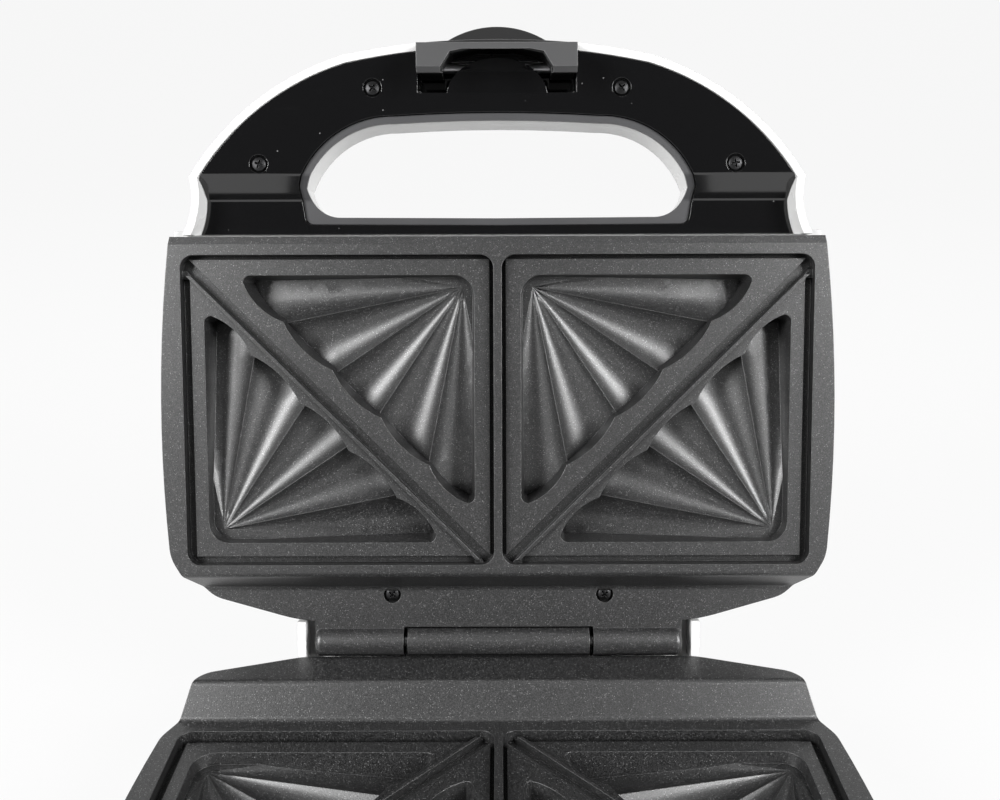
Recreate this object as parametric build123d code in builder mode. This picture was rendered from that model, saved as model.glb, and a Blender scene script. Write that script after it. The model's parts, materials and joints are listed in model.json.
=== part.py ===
"""Two-slice sandwich toaster with a hinged lid, shown standing open.

Every piece is first made in its closed place, in a working frame whose origin is
on the parting plane: X to the right, -Y to the front and +Z up. The land of the
lower plate ends at y = 0. Pieces that exist above and below the parting plane are
made pointing up and then mirrored. At the end the lid is swung open about its
hinge and everything is moved so that the origin lies on the table, under the
middle of the open toaster. All sizes are millimetres.
"""
import os
from math import radians, sqrt, tan

from build123d import *

os.makedirs("parts", exist_ok=True)

# ---------------------------------------------------------------- driving sizes
# The whole toaster
PARTING_HEIGHT = 45.0        # table to the plane where the plates meet
LID_HEIGHT = 40.0            # parting plane to the crown of the lid
FOOT_HEIGHT = 4.0            # the housing's floor stands this far off the table
LID_OPEN_ANGLE = 105.5       # degrees from closed to the rear stop
PLATE_GAP = 0.5              # between the two lands when closed
RUNNING = 0.05               # radial clearance of a pin in a turning bore
SEAT = 0.3                   # clearance round a piece that drops into another
MOVING = 0.6                 # clearance beside parts that swing past each other

# Plates
PLATE_FRONT = 118.2          # front edge, in front of the land's rear end
PLATE_HALF = 115.2           # half width where the sides bow out most
PLATE_MID = 52.0             # where that is
FRONT_DRAWN_IN = 4.2         # the sides stand in by this at the front edge
REAR_DRAWN_IN = 1.8          # and by this where the rear corners start
PLATE_REAR = 8.0             # how far in front of the land's rear end that is
REAR_CORNER = (11.4, 9.75)   # in from the widest place, and in front of the apron's rear edge
LOWER_ROUNDS = (12.0, 9.0, 30.0)    # corner radii from the side to the apron's rear edge
UPPER_ROUNDS = (14.0, 12.0, 60.0)
PLATE_RIM = 5.0              # height of the visible rim
GROOVE_DEPTH = 4.6           # bottom of the cutting grooves, below the land
INNER_LAND = 2.8             # the triangles' lands, below the outer land
PLATE_WALL = 2.6             # casting thickness
FRONT_LIP = 2.7              # width of the front edge's bevel
FRONT_LIP_DROP = 1.0         # and its depth

# The two bread squares of a plate
SQUARE_OUTER = 107.5         # side wall of a square, from the middle
SQUARE_INNER = 1.4           # the middle wall's half thickness
SQUARE_REAR = 5.4            # rear wall, in front of the land's rear end
SQUARE_FRONT = 112.0         # front wall
SQUARE_CORNER = 4.6          # corner radius of a square
GROOVE_SIDE = 2.5            # groove width along the rear and the side
GROOVE_FRONT = 1.4           # groove width along the front and the middle
DIAGONAL_REAR = 0.6          # diagonal groove: x = y - this, on the rear side
DIAGONAL_FRONT = 5.4         # and on the front side
RIB_WIDTH = 1.1              # thin rib along the rear triangle's diagonal
RIB_TOP = 1.3                # its top, below the outer land

# Pockets: right-angled triangles with a scalloped long side
POCKET_OUTER = 101.0         # the outer pocket's corner, from the middle
POCKET_REAR = 12.2           # and from the land's rear end
POCKET_INNER = 7.6           # the inner pocket's corner, from the middle
POCKET_FRONT = 105.7         # and from the land's rear end
POCKET_DEPTH = 11.0          # below the inner land
POCKET_LEG = 79.8            # leg length to the rounded tip
POCKET_CUSPS = 82.75         # a + b along the line of the cusps
POCKET_CORNER = 7.5          # radius at the right angle
POCKET_TIP = 3.0             # radius at the two tips
LOBE_BULGE = 2.1             # each lobe bows out this far
TROUGHS = 5                  # troughs that fan out from the right angle
TROUGH_APEX = 4.5            # the fan's centre, in from both legs
TROUGH_WELL = 9.0            # radius of the level floor round the fan's centre
TROUGH_OVERLAP = 2.6         # degrees by which neighbouring troughs run into each other
TROUGH_FALL = 5.0            # degrees by which a trough deepens away from the fan's centre
TROUGH_OVERRUN = 25.0        # a trough's cutter runs past the lobes by this
TROUGH_OPEN = 45.0           # and this far up towards the land
POCKET_DRAFT = 7.0           # degrees of slope on the pocket walls

# Hinge
HINGE_RISE = 14.5            # axis above the parting plane
HINGE_BACK = 26.0            # axis behind the land's rear end
KNUCKLE_RADIUS = 5.3
CENTRE_KNUCKLE_HALF = 32.6   # half length of the lower plate's knuckle
OUTER_KNUCKLE_START = 34.1
OUTER_KNUCKLE_END = 66.0
KNUCKLE_ROUND = 2.2          # rounding of the outer knuckles' far ends
PIN_RADIUS = 2.0
PIN_SETBACK = 1.5            # the pin ends this far inside the outer knuckles
APRON_THICKNESS = 3.0
APRON_HALF = 70.0            # the apron's rear edge runs straight within this
LOWER_APRON = 11.0           # top of the lower plate's apron, above its land
UPPER_APRON = 12.5           # underside of the upper plate's apron, above its land
LOWER_APRON_REACH = 21.7     # behind the land's rear end, beside the hinge
UPPER_APRON_REACH = 18.3
LOWER_RISER = (0.0, 7.1)     # foot and head of the lower plate's riser
UPPER_RISER = (-1.5, 5.5)
RISER_ROUND = 2.6

# Hinge cover on the lid
BARREL_RADIUS = 11.2
BARREL_HALF = 72.6
BARREL_END_WALL = 3.0
BARREL_RIM_DROP = 1.6        # the barrel's rim lies this far below the hinge axis

# Housings
WALL = 2.5
BODY_TAPER = 5.0             # degrees
BODY_ROUND = 8.0
BODY_FRONT = 120.8           # foot of the body's front wall
HOUSING_INSET = 0.4          # the housings stand back from the plates' edges
HUMP_RIM = 3.6               # the base's rear rim, below the parting plane
PEG_RADIUS = 2.5             # pegs that hold the reflectors
PEG_PLACES = ((75.0, 28.0), (75.0, 92.0))
HANDLE_FRONT = 183.4         # front of the handles
HANDLE_DEPTH = 20.0          # parting plane to the back of a handle
HANDLE_TAPER = 6.0
HANDLE_ROUND = 6.0
HANDLE_RIM = 1.2             # rim of the handle, off the parting plane
HANDLE_SHOULDER = (51.5, 178.1)
HANDLE_MID = (78.9, 164.7)
HANDLE_CORNER = (103.9, 138.2)
HANDLE_WAIST = (103.2, 130.0)
HANDLE_ROOT = (108.5, 116.0)

# Black covers inside the handles
COVER_THICKNESS = 2.4
COVER_LEVEL = 1.6            # off the parting plane, in the grip
COVER_LOW_LEVEL = 9.0        # off the parting plane, beside the plate
COVER_SLOPE_FOOT = 8.2       # off the parting plane, at the foot of the slope
COVER_STEP = (139.0, 131.0)  # where the slope starts and ends
COVER_BEND = 1.8             # radius along both ends of the slope
COVER_FIT = 0.2              # clearance round a cover
COVER_GAP = 0.6              # gap between a cover and the plate's front edge
COVER_SCREWS = ((41.8, 167.5), (80.4, 142.5))
COVER_BOSS_RADIUS = 4.2

# Hand opening, D-shaped
OPENING_FLAT_HALF = 34.6
OPENING_TOP = 159.5
OPENING_SHOULDER = 158.4
OPENING_MID = (56.2, 151.3)
OPENING_SIDE = (67.7, 135.3)
OPENING_FOOT = (66.0, 122.9)
OPENING_BOTTOM = 122.5
OPENING_CORNER = 2.6
HOLE_CORNER = 11.0           # lower corners of the hole through the handle
COLLAR_LIP = 2.5             # width of the collar's lip inside the cover's edge
COLLAR_WALL = 1.6
COLLAR_SINK = 0.9            # the collar's lip lies below the cover

# Latch
LATCH_HALF = 26.0
LATCH_LEG = 7.7              # width of each hook leg
LATCH_FRONT = 183.4
LATCH_BACK = 172.4           # rear of the cheeks
LATCH_TIP_FRONT = 178.7      # front of the hooks and the skirt at their tips
LATCH_NOSE_BACK = 169.6      # rear of the hooks' noses
LATCH_SKIRT = 2.0            # thickness of the skirt that joins the hooks
LATCH_PIVOT = (175.6, 9.5)   # in front of the land's rear end, above parting
LATCH_PIN_RADIUS = 1.5
LATCH_REACH = 11.5           # the hooks go this far past the parting plane
LATCH_LEG_THICKNESS = 2.6
LATCH_NOSE = 2.6             # height of the hook's nose
LATCH_LIP_REACH = 188.0      # front of the thumb lip
LATCH_LIP_HALF = 18.3
LATCH_LIP_LEVELS = (4.0, 8.0)
LATCH_BOW = 1.1              # the latch's front bows by this
LATCH_ARCH = ((18.3, 174.6), (15.2, 179.5), (6.7, 181.2))
LATCH_NOSE_SLOPE = 1.6       # chamfer at a nose's tip
LATCH_REST = 165.8           # rear wall of the latch's pocket
LATCH_ROOF = 14.0            # depth of the latch's pocket, off the parting plane
POCKET_WALL = 2.2            # walls of the pockets behind the covers
LUG_HALF = 17.0              # half width of the domed bearing between the latch's cheeks
LUG_FRONT = 177.7
LUG_LEVEL = 3.0
CATCH_DEPTH = 13.2           # depth of the slots that take the hooks
NIB_FRONT = 168.9            # front of the nibs that the hooks snap under
NIB_LEVELS = (5.6, 7.6)
LATCH_LOW = 2.0              # lowest and highest level of the latch body
LATCH_TOP = 12.0

# Heating
HEATER_RADIUS = 2.8
HEATER_SIDE = 106.6          # straight side runs, from the middle
HEATER_FRONT = 111.4
HEATER_REAR = 6.5
HEATER_BEND = 10.2
HEATER_LEG = 16.0            # the terminals stand this far off the plate
HEATER_GAP = 12.0            # half gap between the terminals
REFLECTOR_LEVEL = 30.0       # above the plate's land
REFLECTOR_SHEET = 0.6
REFLECTOR_HALF = 92.0
REFLECTOR_SPAN = (16.0, 104.0)
REFLECTOR_FLANGE = 5.0

# Fasteners
SCREW_RADIUS = 1.5
SCREW_HEAD_RADIUS = 2.3
SCREW_HEAD_HEIGHT = 1.6
SCREW_SLOT = 0.7             # width of a cross slot
SCREW_GRIP = 9.0             # thread length below the head
COUNTERBORE_RADIUS = 3.1
APRON_SCREW = (38.2, 8.5)    # from the middle, behind the land's rear end
PLATE_POSTS = (25.0, 92.0)   # posts under the lower plate, in front of its rear end
POST_RADIUS = 3.4
POST_HEIGHT = 13.0           # below the slab
POST_FLOOR = 3.0             # floor of the sunk holes for the posts' screws
SINK_RADIUS = 2.9            # and the holes' radius

# Feet, lamps and cord gland
FOOT_RADIUS = 8.0
FOOT_PLACE = (78.0, 12.0, 98.0)   # x, and the rear and front pair
FOOT_SUNK = 1.5
FOOT_CHAMFER = 0.8
LENS_RADIUS = 4.0
LENS_PLACE = (13.0, 96.0)
LENS_DOME = 1.2
LENS_FLANGE = 1.5
GLAND_X = 48.0
GLAND_RADIUS = 5.0
GLAND_BORE = 3.2
GLAND_REACH = 9.0            # behind the base
GLAND_INSIDE = 6.0
GLAND_LEVEL = 22.0           # below the parting plane
GLAND_FLANGE = 7.0
GLAND_FLANGE_THICKNESS = 1.5

# Electric parts
THERMOSTAT_PLACE = (0.0, 80.0)
THERMOSTAT_RADIUS = 14.0
THERMOSTAT_BASE = 4.0
THERMOSTAT_CAN = 9.0
THERMOSTAT_HEIGHT = 11.0
FUSE_PLACE = (30.0, 80.0)
FUSE_RADIUS = 2.5
FUSE_HALF = 10.0
FUSE_LEAD_RADIUS = 0.6
FUSE_LEAD = 6.0
TERMINAL_PLACE = (35.0, 4.0)
TERMINAL_BLOCK = (30.0, 16.0, 14.0)
TERMINAL_HOLE = 2.0

# ---------------------------------------------------------------- worked out
HALF_GAP = PLATE_GAP / 2
SLAB = GROOVE_DEPTH + PLATE_WALL
POCKET_FLOOR = INNER_LAND + POCKET_DEPTH
FAN_LEVEL = POCKET_FLOOR - (POCKET_LEG - TROUGH_APEX) * tan(radians(TROUGH_FALL))
BASE_DEPTH = PARTING_HEIGHT - FOOT_HEIGHT
COVER_BACK = PLATE_FRONT + COVER_GAP
SCOOP_RADIUS = BARREL_RADIUS + MOVING
SCOOP_HALF = BARREL_HALF + MOVING
HUMP_HALF = SCOOP_HALF + WALL
HUMP_BACK = HINGE_BACK + SCOOP_RADIUS + WALL
LOWER_REAR = (LOWER_APRON_REACH, *LOWER_ROUNDS)
UPPER_REAR = (UPPER_APRON_REACH, *UPPER_ROUNDS)
HEATER_LEVEL = HALF_GAP + SLAB + HEATER_RADIUS
POCKET_BACK = HALF_GAP + POCKET_FLOOR + PLATE_WALL
SWEEP = 300.0                # longer than anything that it cuts


def mirrored(shape):
    """Turn a piece made above the parting plane into its lower twin."""
    return mirror(shape, about=Plane.XY)


def lies(x, front):
    """A point of a plan, given by its distance in front of the land's rear end."""
    return (x, -front)


# ---------------------------------------------------------------- plans
def plate_plan(rear, front=PLATE_FRONT, tab_half=0.0, tab_back=0.0, drawn_in=0.0):
    """Outline of a plate or its housing: bowed sides, a narrower apron and a hinge tab.

    The apron's reach and the radii of its corners come together. The whole outline,
    but for the tab, can be drawn in by an amount.
    """
    reach, *rounds = rear
    reach -= drawn_in
    front -= drawn_in
    mid_half = PLATE_HALF - drawn_in
    front_half = mid_half - FRONT_DRAWN_IN
    bends = ((mid_half - REAR_DRAWN_IN, -PLATE_REAR),
             (mid_half - REAR_CORNER[0], reach - REAR_CORNER[1]), (APRON_HALF, reach))
    with BuildSketch() as half:
        with BuildLine():
            Line((0, -front), (front_half, -front))
            ThreePointArc((front_half, -front), (mid_half, -PLATE_MID), bends[0])
            Polyline(*bends, (0, reach))
            Line((0, reach), (0, -front))
        make_face()
        for point, radius in zip(bends, rounds):
            fillet(half.vertices().sort_by_distance(point)[0], radius)
    with BuildSketch() as plan:
        add(half.sketch)
        if tab_half:
            with Locations((0, -front / 2)):
                Rectangle(tab_half, tab_back + front / 2, align=(Align.MIN, Align.MIN))
        mirror(about=Plane.YZ)
    return plan.sketch


def handle_plan():
    """Outline of a handle from its front arch to the waist beside the plates."""
    with BuildSketch() as plan:
        with BuildLine():
            shoulder = lies(*HANDLE_SHOULDER)
            corner = lies(*HANDLE_CORNER)
            root = lies(*HANDLE_ROOT)
            crown_tangent = (1, 0)
            TangentArc((0, -HANDLE_FRONT), shoulder, tangent=crown_tangent)
            ThreePointArc(shoulder, lies(*HANDLE_MID), corner)
            ThreePointArc(corner, lies(*HANDLE_WAIST), root)
            Line(root, (0, root[1]))
            mirror(about=Plane.YZ)
        make_face()
    return plan.sketch


def opening_plan():
    """The D-shaped opening in a cover, with sharp lower corners."""
    side = lies(*OPENING_SIDE)
    foot = lies(*OPENING_FOOT)
    shoulder = (OPENING_FLAT_HALF, -OPENING_SHOULDER)
    with BuildSketch() as plan:
        with BuildLine():
            Line((0, -OPENING_BOTTOM), foot)
            Line(foot, side)
            ThreePointArc(side, lies(*OPENING_MID), shoulder)
            ThreePointArc(shoulder, (OPENING_FLAT_HALF / 2, -OPENING_TOP + 0.28), (0, -OPENING_TOP))
            mirror(about=Plane.YZ)
        make_face()
    return plan.sketch


def round_foot(plan, radius):
    """Round the two lower corners of a plan of the hand opening."""
    with BuildSketch() as rounded:
        add(plan)
        corners = rounded.vertices()
        fillet([corners.sort_by_distance((side * OPENING_FOOT[0], -OPENING_FOOT[1]))[0]
                for side in (1, -1)], radius)
    return rounded.sketch


def inset(plan, amount):
    """The same plan drawn in by an amount."""
    return offset(plan, amount=-amount, kind=Kind.ARC)


# ---------------------------------------------------------------- pockets
def scallop_plan():
    """Rim of a pocket: two legs from a rounded right angle, and five lobes."""
    pitch = POCKET_CUSPS / TROUGHS
    bow = LOBE_BULGE / sqrt(2)
    cusps = [(POCKET_CUSPS - pitch * k, pitch * k) for k in range(1, TROUGHS)]
    ends = [(POCKET_LEG, POCKET_TIP)] + cusps + [(POCKET_TIP, POCKET_LEG)]
    tip_turn = POCKET_TIP * (1 - sqrt(0.5))
    with BuildSketch() as plan:
        with BuildLine():
            for start, end in zip(ends, ends[1:]):
                middle = ((start[0] + end[0]) / 2 + bow, (start[1] + end[1]) / 2 + bow)
                ThreePointArc(start, middle, end)
            ThreePointArc(ends[-1], (tip_turn, POCKET_LEG - tip_turn), (0, POCKET_LEG - POCKET_TIP))
            Line((0, POCKET_LEG - POCKET_TIP), (0, POCKET_CORNER))
            RadiusArc((0, POCKET_CORNER), (POCKET_CORNER, 0), -POCKET_CORNER)
            Line((POCKET_CORNER, 0), (POCKET_LEG - POCKET_TIP, 0))
            ThreePointArc((POCKET_LEG - POCKET_TIP, 0), (POCKET_LEG - tip_turn, tip_turn), ends[0])
        make_face()
    return plan.sketch


def trough():
    """One conical trough along +X whose bottom falls away, open towards the land."""
    slope = 90.0 / (TROUGHS - 1) / 2
    length = POCKET_CUSPS / sqrt(2) + TROUGH_OVERRUN
    radius = length * tan(radians(slope + TROUGH_OVERLAP))
    with BuildPart() as cut:
        with BuildSketch(Plane.XY):
            Polygon((0, 0), (length, -radius), (length, radius), align=None)
        extrude(amount=-TROUGH_OPEN)
        with BuildSketch(Plane.XY):
            Polygon((0, 0), (length, 0), (length, radius), align=None)
        revolve(axis=Axis.X, revolution_arc=180)
    return Rot(0, slope + TROUGH_OVERLAP - TROUGH_FALL, 0) * cut.part


def pocket_cutter():
    """A fan of conical troughs within a scalloped rim, for a plate whose land is at z = 0."""
    fan_angle = 90.0 / (TROUGHS - 1)
    single = trough()
    rim = scallop_plan()
    with BuildPart() as cutter:
        with BuildSketch(Plane.XY.offset(-1.0)):
            with Locations((TROUGH_APEX, TROUGH_APEX)):
                Circle(TROUGH_WELL)
            Rectangle(POCKET_LEG, TROUGH_APEX, align=(Align.MIN, Align.MIN))
            Rectangle(TROUGH_APEX, POCKET_LEG, align=(Align.MIN, Align.MIN))
        extrude(amount=FAN_LEVEL + 1.0)
        for k in range(TROUGHS):
            add(Location((TROUGH_APEX, TROUGH_APEX, FAN_LEVEL), (0, 0, k * fan_angle)) * single)
        with BuildSketch(Plane.XY.offset(-1.0)):
            add(rim)
        extrude(amount=POCKET_FLOOR + 2.0, taper=POCKET_DRAFT, mode=Mode.INTERSECT)
    return cutter.part


def pocket_places():
    """Where the four pockets of a plate sit: corner and turn of each."""
    return (Location((POCKET_OUTER, -POCKET_REAR, 0), (0, 0, 180)),
            Location((POCKET_INNER, -POCKET_FRONT, 0), (0, 0, 0)),
            Location((-POCKET_OUTER, -POCKET_REAR, 0), (0, 0, -90)),
            Location((-POCKET_INNER, -POCKET_FRONT, 0), (0, 0, 90)))


# ---------------------------------------------------------------- plates
def inner_line(riser, apron_level, level):
    """Where the back of a plate's riser stands at a level, measured along Y."""
    foot, head = riser
    run = head - foot
    length = sqrt(run ** 2 + apron_level ** 2)
    across = APRON_THICKNESS * -apron_level / length
    up = APRON_THICKNESS * run / length
    return foot + across + (level - up) * run / apron_level


def plate_profile(riser, apron_level):
    """Side section of a plate, with Y to the right and the plate's back upwards."""
    foot, head = riser
    back = apron_level + APRON_THICKNESS
    with BuildSketch() as profile:
        with BuildLine():
            Polyline((-PLATE_FRONT, FRONT_LIP_DROP), (-PLATE_FRONT + FRONT_LIP, 0), (foot, 0),
                     (head, apron_level), (HINGE_BACK, apron_level), (HINGE_BACK, back),
                     (inner_line(riser, apron_level, back), back),
                     (inner_line(riser, apron_level, SLAB), SLAB), (-PLATE_FRONT, SLAB), close=True)
        make_face()
        corners = profile.vertices()
        fillet([corners.sort_by_distance((foot, 0))[0],
                corners.sort_by_distance((head, apron_level))[0]], RISER_ROUND)
    return profile.sketch


def ring_end(riser, apron_level):
    """The thinner ring under a housing's rim ends here, towards the riser."""
    return max(inner_line(riser, apron_level, PLATE_RIM), inner_line(riser, apron_level, SLAB))


def pocket_block():
    """Outline of the thicker metal behind a pocket, with its right angle at the origin."""
    edge = POCKET_LEG + PLATE_WALL + 2.0
    low = POCKET_CUSPS + (LOBE_BULGE + PLATE_WALL) * sqrt(2) - edge
    with BuildSketch() as plan:
        Polygon((-PLATE_WALL, -PLATE_WALL), (edge, -PLATE_WALL), (edge, low), (low, edge),
                (-PLATE_WALL, edge), align=None)
        corner = plan.vertices().sort_by_distance((-PLATE_WALL, -PLATE_WALL))[0]
        fillet(corner, POCKET_CORNER + PLATE_WALL)
    return plan.sketch


def press_plate(riser, apron_level, rear, tab_half):
    """A cast plate without its knuckles, land at z = 0 and body above it."""
    profile = plate_profile(riser, apron_level)
    plan = plate_plan(rear, tab_half=tab_half, tab_back=HINGE_BACK)
    within_walls = inset(plan, WALL + 2 * SEAT)
    outline = pocket_block()
    with BuildPart() as plate:
        with BuildSketch(Plane.YZ):
            add(profile)
        extrude(amount=SWEEP / 2, both=True)
        with BuildSketch(Plane.XY.offset(-SWEEP / 2)):
            add(plan)
        extrude(amount=SWEEP, mode=Mode.INTERSECT)
        with BuildSketch(Plane.XY.offset(PLATE_RIM)):
            with Locations((0, ring_end(riser, apron_level))):
                Rectangle(SWEEP, SWEEP, align=(Align.CENTER, Align.MAX))
            add(within_walls, mode=Mode.SUBTRACT)
        extrude(amount=SLAB - PLATE_RIM, mode=Mode.SUBTRACT)
        with BuildSketch(Plane.XY.offset(SLAB - 1.0)):
            for place in pocket_places():
                add(place * outline)
        extrude(amount=POCKET_FLOOR + PLATE_WALL - SLAB + 1.0)
        with BuildSketch(Plane.XY) as squares:
            with Locations(((SQUARE_OUTER + SQUARE_INNER) / 2, -(SQUARE_FRONT + SQUARE_REAR) / 2)):
                Rectangle(SQUARE_OUTER - SQUARE_INNER, SQUARE_FRONT - SQUARE_REAR)
            fillet(squares.vertices(), SQUARE_CORNER)
            mirror(about=Plane.YZ)
        extrude(amount=GROOVE_DEPTH, mode=Mode.SUBTRACT)
        with BuildSketch(Plane.XY.offset(INNER_LAND)):
            Polygon(*rear_land(), align=None)
            Polygon(*front_land(), align=None)
            mirror(about=Plane.YZ)
        extrude(amount=SLAB - INNER_LAND - PLATE_WALL / 2)
        with BuildSketch(Plane.XY.offset(RIB_TOP)):
            Polygon(*rib(), align=None)
            mirror(about=Plane.YZ)
        extrude(amount=SLAB - RIB_TOP - PLATE_WALL / 2)
        for place in pocket_places():
            add(place * CUTTER, mode=Mode.SUBTRACT)
    return plate.part


def rear_land():
    """Triangle round the outer pocket, inside the L-shaped groove."""
    side = SQUARE_OUTER - GROOVE_SIDE
    rear = SQUARE_REAR + GROOVE_SIDE
    start = SQUARE_REAR - DIAGONAL_REAR
    end = SQUARE_OUTER - GROOVE_SIDE / 2
    return ((side, -rear), (side, -(side - 1.0)), (SQUARE_OUTER, -(side - 1.0)),
            (SQUARE_OUTER, -(end + DIAGONAL_REAR)), (end, -(end + DIAGONAL_REAR)),
            (start, -SQUARE_REAR), (start + 3.4, -SQUARE_REAR), (start + 3.4, -rear))


def front_land():
    """Triangle round the inner pocket, inside its closed groove."""
    inner = SQUARE_INNER + GROOVE_FRONT
    front = SQUARE_FRONT - GROOVE_FRONT
    return ((inner, -front), (front - DIAGONAL_FRONT, -front), (inner, -(inner + DIAGONAL_FRONT)))


def rib():
    """Thin rib that runs along the rear triangle's diagonal."""
    step = RIB_WIDTH * sqrt(2)
    start = SQUARE_REAR + 0.8
    end = SQUARE_OUTER - 3.0
    return ((start, -(start + DIAGONAL_REAR)), (end, -(end + DIAGONAL_REAR)),
            (end + step, -(end + DIAGONAL_REAR)), (start + step, -(start + DIAGONAL_REAR)))


def along_hinge(level, at=0.0):
    """Plane square to the hinge axis, which stands at a level above this frame."""
    return Plane((at, HINGE_BACK, level), x_dir=(0, 1, 0), z_dir=(1, 0, 0))


def knuckle(start, end, level, rounding):
    """A barrel about the hinge axis, with its far end rounded over."""
    with BuildPart() as barrel:
        with BuildSketch(Plane.XY.offset(level)) as profile:
            with Locations((start, HINGE_BACK)):
                Rectangle(end - start, KNUCKLE_RADIUS, align=(Align.MIN, Align.MIN))
            far = profile.vertices().sort_by_distance((end, HINGE_BACK + KNUCKLE_RADIUS, level))[0]
            fillet(far, rounding)
        revolve(axis=Axis((0, HINGE_BACK, level), (1, 0, 0)))
    return barrel.part


CUTTER = pocket_cutter()

# ---------------------------------------------------------------- the two plates
LOWER_AXIS = -(HINGE_RISE + HALF_GAP)    # the hinge in the frames of the two plates
UPPER_AXIS = HINGE_RISE - HALF_GAP

lower_casting = press_plate(LOWER_RISER, -LOWER_APRON, LOWER_REAR, CENTRE_KNUCKLE_HALF)
with BuildPart() as lower_plate:
    add(lower_casting)
    with BuildSketch(along_hinge(LOWER_AXIS, -CENTRE_KNUCKLE_HALF)):
        Circle(KNUCKLE_RADIUS)
    extrude(amount=2 * CENTRE_KNUCKLE_HALF)
    with BuildSketch(along_hinge(LOWER_AXIS, -CENTRE_KNUCKLE_HALF)):
        Circle(PIN_RADIUS)
    extrude(amount=2 * CENTRE_KNUCKLE_HALF, mode=Mode.SUBTRACT)
    for front in PLATE_POSTS:
        with BuildSketch(Plane.XY.offset(SLAB - 0.5)):
            with Locations((0, -front)):
                Circle(POST_RADIUS)
        extrude(amount=POST_HEIGHT + 0.5)
        with BuildSketch(Plane.XY.offset(SLAB + POST_HEIGHT)):
            with Locations((0, -front)):
                Circle(SCREW_RADIUS)
        extrude(amount=-SCREW_GRIP - 1.0, mode=Mode.SUBTRACT)
lower_plate.part = Pos(0, 0, -HALF_GAP) * mirrored(lower_plate.part)

upper_casting = press_plate(UPPER_RISER, UPPER_APRON, UPPER_REAR, OUTER_KNUCKLE_END)
outer_knuckle = knuckle(OUTER_KNUCKLE_START, OUTER_KNUCKLE_END, UPPER_AXIS, KNUCKLE_ROUND)
with BuildPart() as upper_plate:
    add(upper_casting)
    with BuildSketch(along_hinge(UPPER_AXIS, -OUTER_KNUCKLE_START)):
        Circle(KNUCKLE_RADIUS + MOVING)
    extrude(amount=2 * OUTER_KNUCKLE_START, mode=Mode.SUBTRACT)
    add(outer_knuckle)
    add(mirror(outer_knuckle, about=Plane.YZ))
    with BuildSketch(along_hinge(UPPER_AXIS, -OUTER_KNUCKLE_END)):
        Circle(PIN_RADIUS + RUNNING)
    extrude(amount=2 * OUTER_KNUCKLE_END, mode=Mode.SUBTRACT)
    for side in (1, -1):
        with BuildSketch(Plane.XY.offset(UPPER_APRON)):
            with Locations((side * APRON_SCREW[0], APRON_SCREW[1])):
                Circle(COUNTERBORE_RADIUS)
        extrude(amount=SCREW_HEAD_HEIGHT, mode=Mode.SUBTRACT)
        with BuildSketch(Plane.XY.offset(UPPER_APRON)):
            with Locations((side * APRON_SCREW[0], APRON_SCREW[1])):
                Circle(SCREW_RADIUS)
        extrude(amount=APRON_THICKNESS, mode=Mode.SUBTRACT)
upper_plate.part = Pos(0, 0, HALF_GAP) * upper_plate.part


# ---------------------------------------------------------------- shared building steps
def block(plan, low, high, taper, rounding):
    """A plan drawn up between two levels, leaning in, with its crown rounded over."""
    with BuildPart() as solid:
        with BuildSketch(Plane.XY.offset(low)):
            add(plan)
        extrude(amount=high - low, taper=taper)
        fillet(solid.faces().sort_by(Axis.Z)[-1].edges(), rounding)
    return solid.part


def column(plan, low, high):
    """A plan drawn straight up between two levels."""
    with BuildPart() as solid:
        with BuildSketch(Plane.XY.offset(low)):
            add(plan)
        extrude(amount=high - low)
    return solid.part


def across(outline, half):
    """An outline of (y, z) points, drawn along X to both sides of the middle."""
    with BuildSketch() as section:
        with BuildLine():
            Polyline(*outline, close=True)
        make_face()
    return across_section(section.sketch, half)


def across_section(section, half):
    """A section with Y to the right and Z up, drawn along X to both sides of the middle."""
    with BuildPart() as solid:
        with BuildSketch(Plane.YZ):
            add(section)
        extrude(amount=half, both=True)
    return solid.part


def peg(x, front, radius, low, high):
    """A round column between two levels."""
    return Pos(x, -front, low) * Cylinder(radius, high - low, mode=Mode.PRIVATE,
                                          align=(Align.CENTER, Align.CENTER, Align.MIN))


def slab_box(x_low, x_high, front_low, front_high, low, high):
    """A box given by its ranges across, in front of the land's rear end, and upwards."""
    return Pos(x_low, -front_high, low) * Box(
        x_high - x_low, front_high - front_low, high - low, mode=Mode.PRIVATE,
        align=(Align.MIN, Align.MIN, Align.MIN))


def hinge_rod(radius, start, end, rise):
    """A round bar along the hinge axis, whose height is given in the piece's own frame."""
    bar = Cylinder(radius, end - start, mode=Mode.PRIVATE,
                   align=(Align.CENTER, Align.CENTER, Align.MIN))
    return Pos(start, HINGE_BACK, rise) * Rot(0, 90, 0) * bar


def layer(low, high):
    """A layer that follows the cover's face, between two depths behind it."""
    step, foot = COVER_STEP
    line = ((-HANDLE_FRONT - 5, COVER_LEVEL), (-step, COVER_LEVEL), (-foot, COVER_SLOPE_FOOT),
            (-COVER_BACK, COVER_LOW_LEVEL))
    near = [(y, level + low) for y, level in line]
    far = [(y, level + high) for y, level in reversed(line)]
    with BuildSketch() as section:
        with BuildLine():
            Polyline(*near, *far, close=True)
        make_face()
        bends = [section.vertices().sort_by_distance(point)[0] for point in near[1:3] + far[1:3]]
        fillet(bends, COVER_BEND)
    return across_section(section.sketch, SWEEP / 2)


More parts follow.
